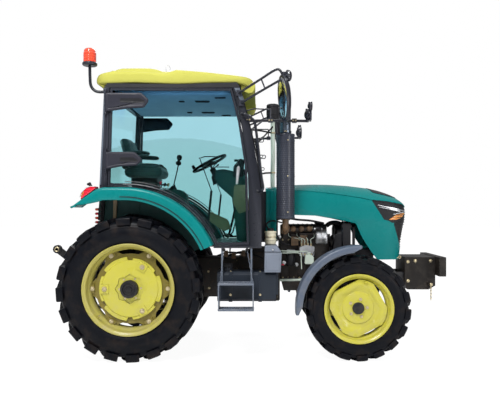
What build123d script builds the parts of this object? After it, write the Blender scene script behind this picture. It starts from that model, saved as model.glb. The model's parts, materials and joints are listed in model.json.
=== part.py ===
"""Compact farm tractor with a cab, built as separate named pieces.

Frame: +X forward, +Y left, +Z up, millimetres. The origin is on the ground, at the middle of
the tractor's overall length and width. Side outlines give (distance ahead of the rear axle,
height above the ground), so they stay readable when the tractor moves in its frame.
"""
from build123d import *
from math import asin, atan2, cos, degrees, pi, radians, sin, sqrt
import os

os.makedirs("parts", exist_ok=True)

# ---- Driving dimensions -------------------------------------------------------------------
WHEELBASE = 2160.0
FRAME_HIGH = 780.0               # top of the front frame rails
REAR_AXLE_X = -1138.0            # rear axle in the tractor's frame
TRACK = 1400.0                   # centre to centre of the tyres, both axles

REAR_TYRE_R, REAR_TYRE_W, REAR_RIM_R = 685.0, 315.0, 406.0
FRONT_TYRE_R, FRONT_TYRE_W, FRONT_RIM_R = 500.0, 211.0, 305.0
REAR_LUGS, FRONT_LUGS = 20, 18   # lugs on each half of the tread

CAB_HALF_WIDTH = 725.0
CAB_WALL = 48.0                  # depth of a cab side frame and of a door
GLASS = 6.0
SHEET = 6.0                      # wall of the hood and of the cowl
HOOD_HALF_REAR, HOOD_HALF_FRONT = 330.0, 300.0
FENDER_IN, FENDER_OUT = 530.0, 880.0

TUBE_SIDES, ROD_SIDES, DRUM_SIDES = 8, 12, 20
PIN_GAP = 0.05                   # radial clearance of a turning pin in its bore
GAP = 6.0                        # clearance between pieces that move past each other

KINGPIN_Y, KINGPIN_R = 520.0, 20.0
LINK_Y = 430.0                   # lower links and lift arms, from the middle
LINK_TILT = 38.0                 # lower links and lift arms above the level
LINK_LENGTH = 850.0
LIFT_ARM = 330.0                 # lift rod's eyes, from the link's and the rockshaft's axes
LINK_PIVOT = (-131.0, 514.0)
ROCKSHAFT = (-131.0, 1000.0)


# ---- Planes and small helpers ---------------------------------------------------------------
def side_plane(y=0.0):
    """Side view plane: x ahead of the rear axle, y up, normal to the right (-Y)."""
    return Plane(origin=(REAR_AXLE_X, y, 0), x_dir=(1, 0, 0), z_dir=(0, -1, 0))


def cross_plane(x):
    """Front view plane at a distance ahead of the rear axle: x to the left, y up."""
    return Plane(origin=(REAR_AXLE_X + x, 0, 0), x_dir=(0, 1, 0), z_dir=(1, 0, 0))


def level_plane(z=0.0):
    """Top view plane: x ahead of the rear axle, y to the left, normal up."""
    return Plane(origin=(REAR_AXLE_X, 0, z))


def wheel_plane(x, z, y=TRACK / 2):
    """Plane of a right-hand wheel, its normal pointing outboard (-Y)."""
    return Plane(origin=(REAR_AXLE_X + x, -y, z), x_dir=(1, 0, 0), z_dir=(0, -1, 0))


def save(piece, name):
    piece.part.label = name
    export_step(piece.part, f"parts/{name}.step")


def save_pair(right, name):
    """Writes a right-hand piece and its mirror image as two nodes."""
    with BuildPart() as left:
        mirror(right.part, about=Plane.XZ)
    save(right, f"{name}_right")
    save(left, f"{name}_left")


def side_slab(outline, y_low, y_high, mode=Mode.ADD):
    """Adds a plate with a straight-edged side outline, between two places across."""
    with BuildSketch(side_plane(y_high)) as face:
        with BuildLine():
            Polyline(*outline, close=True)
        make_face()
    extrude(face.sketch, amount=y_high - y_low, dir=(0, -1, 0), mode=mode)


def cross_slab(outline, x_low, x_high, mode=Mode.ADD):
    """Adds a plate with a straight-edged front outline, between two places along."""
    with BuildSketch(cross_plane(x_low)) as face:
        with BuildLine():
            Polyline(*outline, close=True)
        make_face()
    extrude(face.sketch, amount=x_high - x_low, dir=(1, 0, 0), mode=mode)


def block(x, y, z, mode=Mode.ADD):
    """Adds a box from (low, high) pairs: ahead of the rear axle, across, above the ground."""
    with Locations((REAR_AXLE_X + sum(x) / 2, sum(y) / 2, sum(z) / 2)):
        Box(x[1] - x[0], y[1] - y[0], z[1] - z[0], mode=mode)


def rod(start, end, radius, mode=Mode.ADD, sides=0):
    """Adds a bar between two points given from the rear axle: round, or with flat sides."""
    a = Vector(REAR_AXLE_X + start[0], start[1], start[2])
    b = Vector(REAR_AXLE_X + end[0], end[1], end[2])
    along = Plane(origin=a, z_dir=b - a)
    with BuildSketch(along) as disc:
        if sides:
            RegularPolygon(radius, sides)
        else:
            Circle(radius)
    extrude(disc.sketch, amount=(b - a).length, dir=(b - a).normalized(), mode=mode)


def bent_tube(points, bend, radius):
    """Adds an eight-sided tube whose corners are each bent in three short steps."""
    route = [Vector(REAR_AXLE_X + x, y, z) for x, y, z in points]
    line = [route[0]]
    for before, corner, after in zip(route, route[1:], route[2:]):
        back, ahead = (before - corner).normalized(), (after - corner).normalized()
        line += [corner + back * bend, corner + (back + ahead) * bend * 0.25, corner + ahead * bend]
    line.append(route[-1])
    with BuildLine() as path:
        Polyline(*line)
    with BuildSketch(Plane(origin=route[0], z_dir=route[1] - route[0])) as section:
        RegularPolygon(radius, TUBE_SIDES)
    sweep(section.sketch, path=path.line, transition=Transition.RIGHT)


def drum(plane, low, high, radius, facets, mode=Mode.ADD):
    """Adds a many-sided drum between two distances along a plane's normal."""
    with BuildSketch(plane.offset(low)) as section:
        RegularPolygon(radius, facets)
    extrude(section.sketch, amount=high - low, dir=plane.z_dir, mode=mode)


def ring_slice(profile, facets):
    """One flat slice of a many-sided turned form, from its closed (outboard, radius) profile.

    The radii are those of the corners between slices, and PolarLocations sets the slices round.
    """
    reach = 2 * max(radius for _, radius in profile)
    half = pi / facets
    with BuildPart() as piece:
        with BuildSketch(Plane.YZ.offset(-reach)) as section:
            with BuildLine():
                Polyline(*((radius * cos(half), outboard) for outboard, radius in profile), close=True)
            make_face()
        extrude(section.sketch, amount=2 * reach, dir=(1, 0, 0))
        with BuildSketch(Plane.XY.offset(-reach)) as wedge:
            with BuildLine():
                Polyline((0, 0), (reach * sin(half), reach * cos(half)), (-reach * sin(half), reach * cos(half)),
                         close=True)
            make_face()
        extrude(wedge.sketch, amount=2 * reach, dir=(0, 0, 1), mode=Mode.INTERSECT)
    return piece.part


# ---- Tyres and wheels -------------------------------------------------------------------------
def tyre(plane, radius, width, bore, lugs, lug_height, lean, root, block):
    """A tyre as a faceted carcass with two rows of slanted lugs that widen over the shoulders.

    Each lug's inner end leads its outer end by lean; it is root wide inside and block wide outside.
    """
    half = width / 2
    tread = radius - lug_height
    wall = tread - bore
    shape = (                    # outboard distance, radius
        (-0.78 * half, bore + 0.05 * wall),
        (-0.96 * half, bore + 0.45 * wall),
        (-0.80 * half, tread - 12),
        (0.80 * half, tread - 12),
        (0.96 * half, bore + 0.45 * wall),
        (0.78 * half, bore + 0.05 * wall),
        (0.78 * half, 0.9 * bore),
        (-0.78 * half, 0.9 * bore),
    )
    carcass = ring_slice(shape, lugs)
    depth = lug_height + 0.22 * wall
    inner, outer = 0.6 * lean, -0.4 * lean
    corner = block / 2 - outer
    crest = sqrt(radius**2 - corner**2)
    lowest = 180 - degrees(atan2(corner, crest))  # turns a lug's trailing corner to the ground
    with BuildPart() as lug:
        with BuildSketch(Plane(origin=(0, crest, 0), x_dir=(1, 0, 0), z_dir=(0, 1, 0))):
            with BuildLine():
                Polyline(
                    (inner - root / 2, 8), (inner + root / 2, 8),
                    (outer + block / 2, -half), (outer - block / 2, -half),
                    close=True,
                )
            make_face()
        extrude(amount=-depth)
    mirrored_lug = lug.part.mirror(Plane.XY)
    half_pitch = 180 / lugs
    with BuildPart(plane) as body:
        with PolarLocations(0, lugs, start_angle=half_pitch):
            add(carcass)
        with PolarLocations(0, lugs, start_angle=lowest):
            add(lug.part)
        with PolarLocations(0, lugs, start_angle=lowest + half_pitch):
            add(mirrored_lug)
        drum(plane, -width, width, bore, 2 * lugs, Mode.SUBTRACT)
    return body


def rim(plane, bead_radius, half_width, flange_radius, facets):
    """Adds the barrel of a wheel with a flange along each edge."""
    lip = 13.0
    wall = 14.0
    for low, high, radius in (
        (-half_width, -half_width + lip, flange_radius),
        (-half_width, half_width, bead_radius),
        (half_width - lip, half_width, flange_radius),
    ):
        drum(plane, low, high, radius, facets)
    drum(plane, -half_width - 1, half_width + 1, bead_radius - wall, facets, Mode.SUBTRACT)


rear_plane = wheel_plane(0, REAR_TYRE_R)
front_plane = wheel_plane(WHEELBASE, FRONT_TYRE_R)

rear_tyre = tyre(rear_plane, REAR_TYRE_R, REAR_TYRE_W, REAR_RIM_R, REAR_LUGS, 34, 128, 44, 136)
save_pair(rear_tyre, "rear_tyre")
front_tyre = tyre(front_plane, FRONT_TYRE_R, FRONT_TYRE_W, FRONT_RIM_R, FRONT_LUGS, 27, 92, 36, 108)
save_pair(front_tyre, "front_tyre")

REAR_DISC_R = 300.0
REAR_WEB_R = 335.0               # web between the disc and the rim's lugs
REAR_HUB_R = 83.0
AXLE_R = 40.0
REAR_DISC_OUT = 30.0             # inner face of the disc, outboard of the wheel's middle
with BuildPart(rear_plane) as rear_wheel:
    rim(rear_plane, REAR_RIM_R, 141, 431, 2 * REAR_LUGS)
    with BuildSketch(rear_plane.offset(REAR_DISC_OUT)):
        RegularPolygon(REAR_WEB_R, 2 * DRUM_SIDES)
        with PolarLocations(0, 6):
            with Locations(((REAR_WEB_R + REAR_RIM_R) / 2 - 14, 0)):
                Rectangle(REAR_RIM_R - REAR_WEB_R + 12, 92)
    extrude(amount=14)
    with BuildSketch(rear_plane.offset(REAR_DISC_OUT + 14)):
        RegularPolygon(REAR_DISC_R, 2 * DRUM_SIDES)
        with PolarLocations(REAR_DISC_R - 14, 6, start_angle=30):
            Rectangle(32, 56, mode=Mode.SUBTRACT)
        with PolarLocations(0, 2):
            Rectangle(2 * REAR_HUB_R + 76, 2 * REAR_HUB_R + 76, rotation=22.5, mode=Mode.SUBTRACT)
    extrude(amount=26)
    with BuildSketch(rear_plane.offset(REAR_DISC_OUT + 40)):
        with PolarLocations(238, 3, start_angle=60):
            Rectangle(80, 80)
    extrude(amount=14)
    with BuildSketch(rear_plane.offset(-85)):
        RegularPolygon(REAR_HUB_R, DRUM_SIDES)
    extrude(amount=200)
    with BuildSketch(rear_plane.offset(-150)):
        Circle(AXLE_R)
    extrude(amount=70)
save_pair(rear_wheel, "rear_wheel")

FRONT_HUB_R = 56.0
FRONT_DISH_R = 272.0
FRONT_FLAT = 240.0               # middle of the wheel to each of the disc's flats
FRONT_FLAT_ANGLES = (117, 30, -62, -152)
SPINDLE_R = 28.0
FRONT_STEP_R = 145.0
FRONT_DISH = (                   # distance outboard, radius
    (20, FRONT_DISH_R), (50, FRONT_DISH_R - 12), (62, FRONT_DISH_R - 42), (62, FRONT_STEP_R + 35),
    (32, FRONT_STEP_R), (20, FRONT_STEP_R),
)
dish_slice = ring_slice(FRONT_DISH, 2 * FRONT_LUGS)
with BuildPart(front_plane) as front_wheel:
    with PolarLocations(0, 2 * FRONT_LUGS):
        add(dish_slice)
    drum(front_plane, 20, 32, FRONT_STEP_R + 4, 2 * FRONT_LUGS)
    with BuildSketch(front_plane.offset(10)):
        for angle in FRONT_FLAT_ANGLES:
            with PolarLocations(FRONT_FLAT + 40, 1, start_angle=angle):
                Rectangle(80, 400)
    extrude(amount=70, mode=Mode.SUBTRACT)
    with BuildSketch(front_plane.offset(10)):
        RegularPolygon(FRONT_RIM_R - 6, 2 * FRONT_LUGS)
        RegularPolygon(FRONT_FLAT - 20, 2 * FRONT_LUGS, mode=Mode.SUBTRACT)
        for angle in FRONT_FLAT_ANGLES:
            with PolarLocations(FRONT_FLAT + 17, 1, start_angle=angle):
                Rectangle(34, 190, mode=Mode.SUBTRACT)
    extrude(amount=12)
    with BuildSketch(front_plane.offset(-10)):
        RegularPolygon(FRONT_HUB_R, DRUM_SIDES)
    extrude(amount=95)
    with BuildSketch(front_plane.offset(-11)):
        Circle(SPINDLE_R + PIN_GAP)
    extrude(amount=61, mode=Mode.SUBTRACT)
with BuildPart() as front_rim:
    rim(front_plane, FRONT_RIM_R, 102, 327, 2 * FRONT_LUGS)
    add(front_wheel.part)
save_pair(front_rim, "front_wheel")

# ---- Rear axle, transmission and engine ---------------------------------------------------------
HOUSING_REAR, HOUSING_FRONT = -230.0, 200.0
ENGINE_REAR, ENGINE_FRONT = 1430.0, WHEELBASE - 205.0
SHAFT_R = 34.0                   # rockshaft
LINK_PIN_R = 14.0
TOP_PIN_R = 12.8
TOP_PIVOT = (-385.0, 905.0)
TOP_LINK_LENGTH = 450.0
TOP_LINK_TILT = 80.0             # the stowed top link above the level
STOW_Z = 1250.0                  # height of the fork that holds the stowed top link
PTO_Z, PTO_R, PTO_END = 560.0, 17.45, -310.0
with BuildPart() as rear_axle:
    block((HOUSING_REAR, HOUSING_FRONT), (-190, 190), (480, 905))
    side_slab(((-230, 905), (-190, 960), (-175, 1050), (-60, 1065), (170, 1040), (200, 905)), -150, 150)
    for side in (-1, 1):
        rod((0, side * 185, REAR_TYRE_R), (0, side * 610, REAR_TYRE_R), 92, sides=DRUM_SIDES)
        rod((0, side * 540, REAR_TYRE_R), (0, side * 612, REAR_TYRE_R), AXLE_R + PIN_GAP, Mode.SUBTRACT)
        rod((*LINK_PIVOT[:1], side * 180, LINK_PIVOT[1]), (*LINK_PIVOT[:1], side * 458, LINK_PIVOT[1]),
            LINK_PIN_R)
        rod((*LINK_PIVOT[:1], side * 180, LINK_PIVOT[1]), (*LINK_PIVOT[:1], side * 395, LINK_PIVOT[1]), 32,
            sides=ROD_SIDES)
        ear = ((HOUSING_REAR + 5, 850), (HOUSING_REAR + 5, 900), (-375, 935), (-412, 920), (-412, 890),
               (-375, 875))
        side_slab(ear, *sorted((side * 32, side * 46)))
    rod((*TOP_PIVOT[:1], -46, TOP_PIVOT[1]), (*TOP_PIVOT[:1], 46, TOP_PIVOT[1]), TOP_PIN_R)
    rod((ROCKSHAFT[0], -200, ROCKSHAFT[1]), (ROCKSHAFT[0], 200, ROCKSHAFT[1]), SHAFT_R + PIN_GAP,
        Mode.SUBTRACT)
    rod((HOUSING_REAR + 10, 0, PTO_Z), (PTO_END, 0, PTO_Z), PTO_R)
    rod((HOUSING_REAR + 10, 0, PTO_Z), (HOUSING_REAR - 25, 0, PTO_Z), 55, sides=ROD_SIDES)
save(rear_axle, "rear_axle")

with BuildPart() as transmission:
    block((HOUSING_FRONT, 1000), (-165, 165), (520, 930))
    side_slab(((1000, 520), (1150, 480), (ENGINE_REAR, 480), (ENGINE_REAR, 1030), (1150, 1030), (1000, 930)),
              -190, 190)
save(transmission, "transmission")

EXHAUST_X, EXHAUST_Y = 1484.0, -450.0
MANIFOLD_Y, MANIFOLD_OUT, PORT_Z = -170.0, -215.0, 1225.0
CRANK_Z, FAN_R = 1060.0, 215.0
FAN_FRONT = ENGINE_FRONT + 87.0
CYLINDERS = [ENGINE_REAR + (ENGINE_FRONT - ENGINE_REAR) * (12 + 17 * k) / 105 for k in range(4)]
with BuildPart() as engine:
    block((ENGINE_REAR, ENGINE_FRONT), (-150, 150), (700, 1130))
    cross_slab(((-125, 1130), (-118, 1235), (-90, 1270), (90, 1270), (118, 1235), (125, 1130)),
               ENGINE_REAR + 20, ENGINE_FRONT - 20)
    side_slab(((ENGINE_REAR + 20, 700), (ENGINE_REAR + 50, 580), (ENGINE_FRONT - 160, 580),
               (ENGINE_FRONT - 40, 660), (ENGINE_FRONT - 40, 700)), -125, 125)
    for x in CYLINDERS:
        block((x - 46, x - 34), (-160, 160), (720, 1115))
        block((x - 24, x + 24), (MANIFOLD_Y, -110), (PORT_Z - 27, PORT_Z + 27))
    rod((CYLINDERS[0] - 40, MANIFOLD_Y, PORT_Z), (CYLINDERS[-1] + 30, MANIFOLD_Y, PORT_Z), 36, sides=ROD_SIDES)
    block((EXHAUST_X - 42, EXHAUST_X + 42), (MANIFOLD_OUT, MANIFOLD_Y), (PORT_Z - 36, PORT_Z + 36))
    block((ENGINE_FRONT - 325, ENGINE_FRONT - 165), (-225, -145), (960, 1055))
    rod((1550, -190, 850), (1550, -190, 985), 48, sides=ROD_SIDES)
    block((1520, 1580), (-190, -145), (950, 980))
    rod((ENGINE_FRONT - 5, 0, CRANK_Z), (FAN_FRONT, 0, CRANK_Z), 28, sides=ROD_SIDES)
    rod((ENGINE_FRONT + 25, 0, CRANK_Z), (ENGINE_FRONT + 45, 0, CRANK_Z), 82, sides=DRUM_SIDES)
    rod((FAN_FRONT - 30, 0, CRANK_Z), (FAN_FRONT, 0, CRANK_Z), 70, sides=ROD_SIDES)
    with BuildSketch(cross_plane(FAN_FRONT - 22)) as blades:
        with Locations((0, CRANK_Z)):
            with PolarLocations((FAN_R + 60) / 2, 6):
                Rectangle(FAN_R - 60, 80)
    extrude(blades.sketch, amount=12, dir=(1, 0, 0))
save(engine, "engine")

ALTERNATOR_Y, ALTERNATOR_Z = -262.0, 1147.0
with BuildPart() as alternator:
    for back, front, radius, sides in ((154, 26, 70, DRUM_SIDES), (26, 5, 38, ROD_SIDES)):
        rod((ENGINE_FRONT - back, ALTERNATOR_Y, ALTERNATOR_Z),
            (ENGINE_FRONT - front, ALTERNATOR_Y, ALTERNATOR_Z), radius, sides=sides)
    block((ENGINE_FRONT - 125, ENGINE_FRONT - 55), (-225, -150), (1080, 1110))
save(alternator, "alternator")

RADIATOR_REAR = FAN_FRONT + 32.0
RADIATOR_LOW = 900.0
with BuildPart() as radiator:
    block((RADIATOR_REAR, RADIATOR_REAR + 106), (-265, 265), (RADIATOR_LOW, 1300))
    block((RADIATOR_REAR - 1, RADIATOR_REAR + 12), (-225, 225), (RADIATOR_LOW + 60, 1240), Mode.SUBTRACT)
    block((RADIATOR_REAR + 10, RADIATOR_REAR + 96), (-200, 200), (FRAME_HIGH, RADIATOR_LOW))
save(radiator, "radiator")

# ---- Front frame, bracket and front axle ------------------------------------------------------------
BRACKET_REAR = WHEELBASE + 580.0
AXLE_SEAT = FRONT_TYRE_R + 140.0  # underside of the front frame
RAIL_IN, RAIL_OUT = 125.0, 175.0
with BuildPart() as front_frame:
    for side in (-1, 1):
        across = sorted((side * RAIL_IN, side * RAIL_OUT))
        block((ENGINE_FRONT, BRACKET_REAR), across, (AXLE_SEAT, FRAME_HIGH))
    block((ENGINE_FRONT, ENGINE_FRONT + 25), (-RAIL_OUT, RAIL_OUT), (AXLE_SEAT, FRAME_HIGH))
    block((WHEELBASE - 100, WHEELBASE + 100), (-RAIL_IN, RAIL_IN), (AXLE_SEAT, FRAME_HIGH))
save(front_frame, "front_frame")

BRACKET_TOP = FRAME_HIGH + 158.0
BRACKET_FRONT = BRACKET_REAR + 320.0
PLATE_LOW, PLATE_HIGH, PLATE_HALF = FRAME_HIGH - 28.0, FRAME_HIGH + 168.0, 350.0
with BuildPart() as front_bracket:
    side_slab(((BRACKET_REAR, BRACKET_TOP), (BRACKET_FRONT, BRACKET_TOP), (BRACKET_FRONT, AXLE_SEAT),
               (BRACKET_FRONT - 70, AXLE_SEAT - 40), (BRACKET_REAR + 30, AXLE_SEAT - 40),
               (BRACKET_REAR, AXLE_SEAT)), -200, 200)
    block((BRACKET_REAR + 60, BRACKET_FRONT - 40), (-150, 150), (AXLE_SEAT - 50, BRACKET_TOP - 40),
          Mode.SUBTRACT)
    block((BRACKET_FRONT - 5, BRACKET_FRONT + 65), (-PLATE_HALF, PLATE_HALF), (PLATE_LOW, PLATE_HIGH))
    bar_x, bar_z = BRACKET_FRONT - 60, AXLE_SEAT + 20
    rod((bar_x, -235, bar_z), (bar_x, 235, bar_z), 26, sides=ROD_SIDES)
save(front_bracket, "front_bracket")

with BuildPart() as front_axle:
    rod((WHEELBASE, -460, FRONT_TYRE_R), (WHEELBASE, 460, FRONT_TYRE_R), 55, sides=ROD_SIDES)
    rod((WHEELBASE - 150, 60, FRONT_TYRE_R), (WHEELBASE + 110, 60, FRONT_TYRE_R), 125, sides=DRUM_SIDES)
    block((WHEELBASE - 60, WHEELBASE + 60), (-90, 90), (FRONT_TYRE_R + 40, AXLE_SEAT))
    cylinder_x = WHEELBASE - 105
    rod((cylinder_x, -330, FRONT_TYRE_R), (cylinder_x, -50, FRONT_TYRE_R), 32, sides=ROD_SIDES)
    rod((cylinder_x, -410, FRONT_TYRE_R), (cylinder_x, -310, FRONT_TYRE_R), 13, sides=TUBE_SIDES)
    block((WHEELBASE - 110, WHEELBASE), (-330, -300), (FRONT_TYRE_R - 30, FRONT_TYRE_R + 30))
    for side in (-1, 1):
        kingpin = (WHEELBASE, side * KINGPIN_Y)
        rod((*kingpin, FRONT_TYRE_R - 60), (*kingpin, FRONT_TYRE_R + 60), 48, sides=ROD_SIDES)
        block((WHEELBASE - 40, WHEELBASE + 40), sorted((side * 440, side * 500)),
              (FRONT_TYRE_R - 45, FRONT_TYRE_R + 45))
        rod((*kingpin, FRONT_TYRE_R - 70), (*kingpin, FRONT_TYRE_R + 70), KINGPIN_R + PIN_GAP, Mode.SUBTRACT)
save(front_axle, "front_axle")

FRONT_FENDER_R = FRONT_TYRE_R + 92.0
FENDER_THICK = 8.0
with BuildPart() as front_fender:
    centre = (WHEELBASE, FRONT_TYRE_R)
    with BuildSketch(side_plane(-640)):
        with BuildLine():
            outer = CenterArc(centre, FRONT_FENDER_R + FENDER_THICK, 88, 97)
            inner = CenterArc(centre, FRONT_FENDER_R, 88, 97)
            Line(outer @ 0, inner @ 0)
            Line(outer @ 1, inner @ 1)
        make_face()
    extrude(amount=220)
    for y in (-860, -648):
        with BuildSketch(side_plane(y + 8)) as lip:
            with BuildLine():
                outer = CenterArc(centre, FRONT_FENDER_R + 2, 88, 97)
                inner = CenterArc(centre, FRONT_FENDER_R - 14, 88, 97)
                Line(outer @ 0, inner @ 0)
                Line(outer @ 1, inner @ 1)
            make_face()
        extrude(lip.sketch, amount=8, dir=(0, -1, 0))

with BuildPart() as knuckle:
    pin = (WHEELBASE, -KINGPIN_Y)
    inside = FRONT_TYRE_R + FRONT_FENDER_R
    outside = inside + FENDER_THICK - 12
    for low in (-105, 66):
        block((WHEELBASE - 55, WHEELBASE + 55), (-605, -470), (FRONT_TYRE_R + low, FRONT_TYRE_R + low + 39))
    block((WHEELBASE - 55, WHEELBASE + 55), (-605, -580), (FRONT_TYRE_R - 105, FRONT_TYRE_R + 105))
    rod((*pin, FRONT_TYRE_R - 100), (*pin, FRONT_TYRE_R + 100), KINGPIN_R)
    rod((WHEELBASE, -600, FRONT_TYRE_R), (WHEELBASE, -682, FRONT_TYRE_R), 75, sides=DRUM_SIDES)
    rod((WHEELBASE, -680, FRONT_TYRE_R), (WHEELBASE, -748, FRONT_TYRE_R), SPINDLE_R)
    block((WHEELBASE - 75, WHEELBASE - 5), (-585, -568), (FRONT_TYRE_R + 100, inside - 4))
    block((WHEELBASE - 75, WHEELBASE - 5), (-720, -568), (inside - 22, inside + FENDER_THICK))
    add(front_fender.part, mode=Mode.SUBTRACT)
    block((WHEELBASE - 80, WHEELBASE), (-725, -560), (outside, outside + 60), Mode.SUBTRACT)
save_pair(knuckle, "knuckle")
save_pair(front_fender, "front_fender")

# ---- Tank, battery, reservoir, steps -------------------------------------------------------------------
TANK_TOP = 836.0
TANK_FRONT = WHEELBASE - FRONT_FENDER_R - FENDER_THICK - 177
with BuildPart() as fuel_tank:
    cross_slab(((-700, 580), (-700, TANK_TOP - 26), (-674, TANK_TOP), (-440, TANK_TOP), (-440, 554),
                (-674, 554)), 820, TANK_FRONT)
    for x in (930, TANK_FRONT - 170):
        block((x, x + 34), (-704, -438), (552, TANK_TOP + 4))
    rod((914, -590, TANK_TOP - 5), (914, -590, 905), 45, sides=ROD_SIDES)
    block((TANK_FRONT, TANK_FRONT + 21), (-690, -190), (620, TANK_TOP))
    block((830, 860), (-440, -165), (780, TANK_TOP))
save(fuel_tank, "fuel_tank")

BATTERY_TOP = 1088.0
with BuildPart() as battery_box:
    side_slab(((1270, TANK_TOP), (1425, TANK_TOP), (1437, 1021), (1392, BATTERY_TOP), (1275, BATTERY_TOP)),
              -740, -440)
save(battery_box, "battery_box")

with BuildPart() as expansion_tank:
    block((1278, 1388), (-560, -440), (BATTERY_TOP, 1222))
    rod((1333, -500, 1220), (1333, -500, 1265), 28, sides=ROD_SIDES)
save(expansion_tank, "expansion_tank")

FLOOR_Z = 1067.0
with BuildPart() as steps:
    for side in (-1, 1):
        across = sorted((side * 740, side * 900))
        block((838, 1173), across, (735, 753))
        block((838, 1173), across, (495, 513))
        for x in (841, 1160):
            block((x, x + 10), across, (495, 753))
        for x in (860, 1140):
            block((x, x + 14), sorted((side * 706, side * 744)), (735, 753))
            block((x, x + 14), sorted((side * 706, side * 720)), (735, FLOOR_Z))
save(steps, "steps")

# ---- Exhaust and air intake ---------------------------------------------------------------------------
COWL_TOP = 1668.0
GUARD_R, GUARD_LOW, GUARD_HIGH = 95.0, 1344.0, 2186.0
PIPE_R, PIPE_TOP = 54.0, 2510.0


def upright(low, high, radius, mode=Mode.ADD, sides=DRUM_SIDES):
    """Adds a length of upright pipe on the exhaust's axis."""
    rod((EXHAUST_X, EXHAUST_Y, low), (EXHAUST_X, EXHAUST_Y, high), radius, mode, sides)


with BuildPart() as exhaust:
    upright(GUARD_LOW, GUARD_HIGH, GUARD_R)
    upright(GUARD_LOW - 1, GUARD_HIGH + 1, GUARD_R - 6, Mode.SUBTRACT)
    upright(GUARD_LOW, PIPE_TOP, PIPE_R)
    for low in (GUARD_LOW + 14, (GUARD_LOW + GUARD_HIGH) / 2, GUARD_HIGH - 26):
        upright(low, low + 12, GUARD_R - 3)
    upright(GUARD_HIGH + 10, PIPE_TOP + 1, PIPE_R - 5, Mode.SUBTRACT)
    side_slab(((EXHAUST_X - 60, PIPE_TOP - 55), (EXHAUST_X + 60, PIPE_TOP), (EXHAUST_X + 60, PIPE_TOP + 9),
               (EXHAUST_X - 60, PIPE_TOP + 9)), EXHAUST_Y - 60, EXHAUST_Y + 60, Mode.SUBTRACT)
    upright(PORT_Z, GUARD_LOW + 2, 32, sides=ROD_SIDES)
    rod((EXHAUST_X, EXHAUST_Y - 32, PORT_Z), (EXHAUST_X, MANIFOLD_OUT, PORT_Z), 32, sides=ROD_SIDES)
save(exhaust, "exhaust")

with BuildPart() as air_intake:
    rod((1363, -180, COWL_TOP), (1363, -180, 2385), 25, sides=ROD_SIDES)
    rod((1363, -180, 2376), (1363, -180, 2539), 66, sides=DRUM_SIDES)
save(air_intake, "air_intake")

# ---- Hood, cowl and grille --------------------------------------------------------------------------------
HOOD_REAR = 1406.0
HOOD_TOP_REAR = 1676.0
HOOD_PIVOT = (HOOD_REAR + 8, HOOD_TOP_REAR - 10)
HOOD_PIN_R = 4.0
COWL_FRONT = HOOD_REAR - 10


def hood_side(inset, drop=0.0):
    """Side outline of the hood; inset moves its skin in and drop opens it below and behind."""
    with BuildSketch(side_plane(400)) as outline:
        with BuildLine():
            crown = ThreePointArc((HOOD_REAR - drop, HOOD_TOP_REAR - inset), (WHEELBASE - 281, 1700 - inset),
                                  (WHEELBASE + 169, 1661 - inset))
            brow = ThreePointArc(crown @ 1, (WHEELBASE + 379, 1604 - inset),
                                 (WHEELBASE + 547 - inset, 1518 - inset))
            nose = ThreePointArc(brow @ 1, (WHEELBASE + 601 - inset, 1464), (WHEELBASE + 617 - inset, 1400))
            chin = Line(nose @ 1, (WHEELBASE + 557 - inset, 919 - drop))
            foot = Line(chin @ 1, (WHEELBASE + 283 - 0.4 * drop, 919 - drop))
            cheek = Line(foot @ 1, (WHEELBASE + 122 - 0.4 * drop, 1144 - drop))
            sill = Line(cheek @ 1, (WHEELBASE + 54 - 0.4 * drop, 1293 - drop))
            rise = ThreePointArc(sill @ 1, (WHEELBASE - 281, 1364 - drop), (HOOD_REAR + 185, 1379 - drop))
            rear = Line(rise @ 1, (HOOD_REAR - drop, 1372 - drop))
            Line(rear @ 1, crown @ 0)
        make_face()
    return outline.sketch


def hood_plan(inset):
    """Top outline of the hood, narrowing to a rounded nose."""
    rear_half = HOOD_HALF_REAR - inset
    front_half = HOOD_HALF_FRONT - inset
    tip = WHEELBASE + 624 - inset
    with BuildSketch(level_plane(800)) as outline:
        with BuildLine():
            right = Line((HOOD_REAR - 100, -rear_half), (WHEELBASE + 380, -front_half))
            bend, bend_half = WHEELBASE + 554 - 0.7 * inset, 240 - 0.7 * inset
            corner = ThreePointArc(right @ 1, (bend, -bend_half), (tip - 18, -130))
            nose = ThreePointArc(corner @ 1, (tip, 0), (tip - 18, 130))
            other = ThreePointArc(nose @ 1, (bend, bend_half), (WHEELBASE + 380, front_half))
            left = Line(other @ 1, (HOOD_REAR - 100, rear_half))
            Line(left @ 1, right @ 0)
        make_face()
    return outline.sketch


def shoulders(inset=0.0):
    """Front outline of the hood and of the cowl, with sloped shoulders: (left, up)."""
    right = ((-HOOD_HALF_REAR, 800), (-HOOD_HALF_REAR, 1600), (45 - HOOD_HALF_REAR, 1662),
             (130 - HOOD_HALF_REAR, 1712))
    right = [(y + inset, z - 0.6 * inset) for y, z in right]
    return [*right, *((-y, z) for y, z in reversed(right))]


def hood_form(inset, drop=0.0):
    """The solid within the hood's skin, moved in by inset and opened below and behind by drop."""
    with BuildPart() as form:
        extrude(hood_side(inset, drop), amount=800, dir=(0, -1, 0))
        extrude(hood_plan(inset), amount=1000, dir=(0, 0, 1), mode=Mode.INTERSECT)
        cross_slab(shoulders(inset), HOOD_REAR - 200, BRACKET_FRONT, Mode.INTERSECT)
    return form.part


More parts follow.
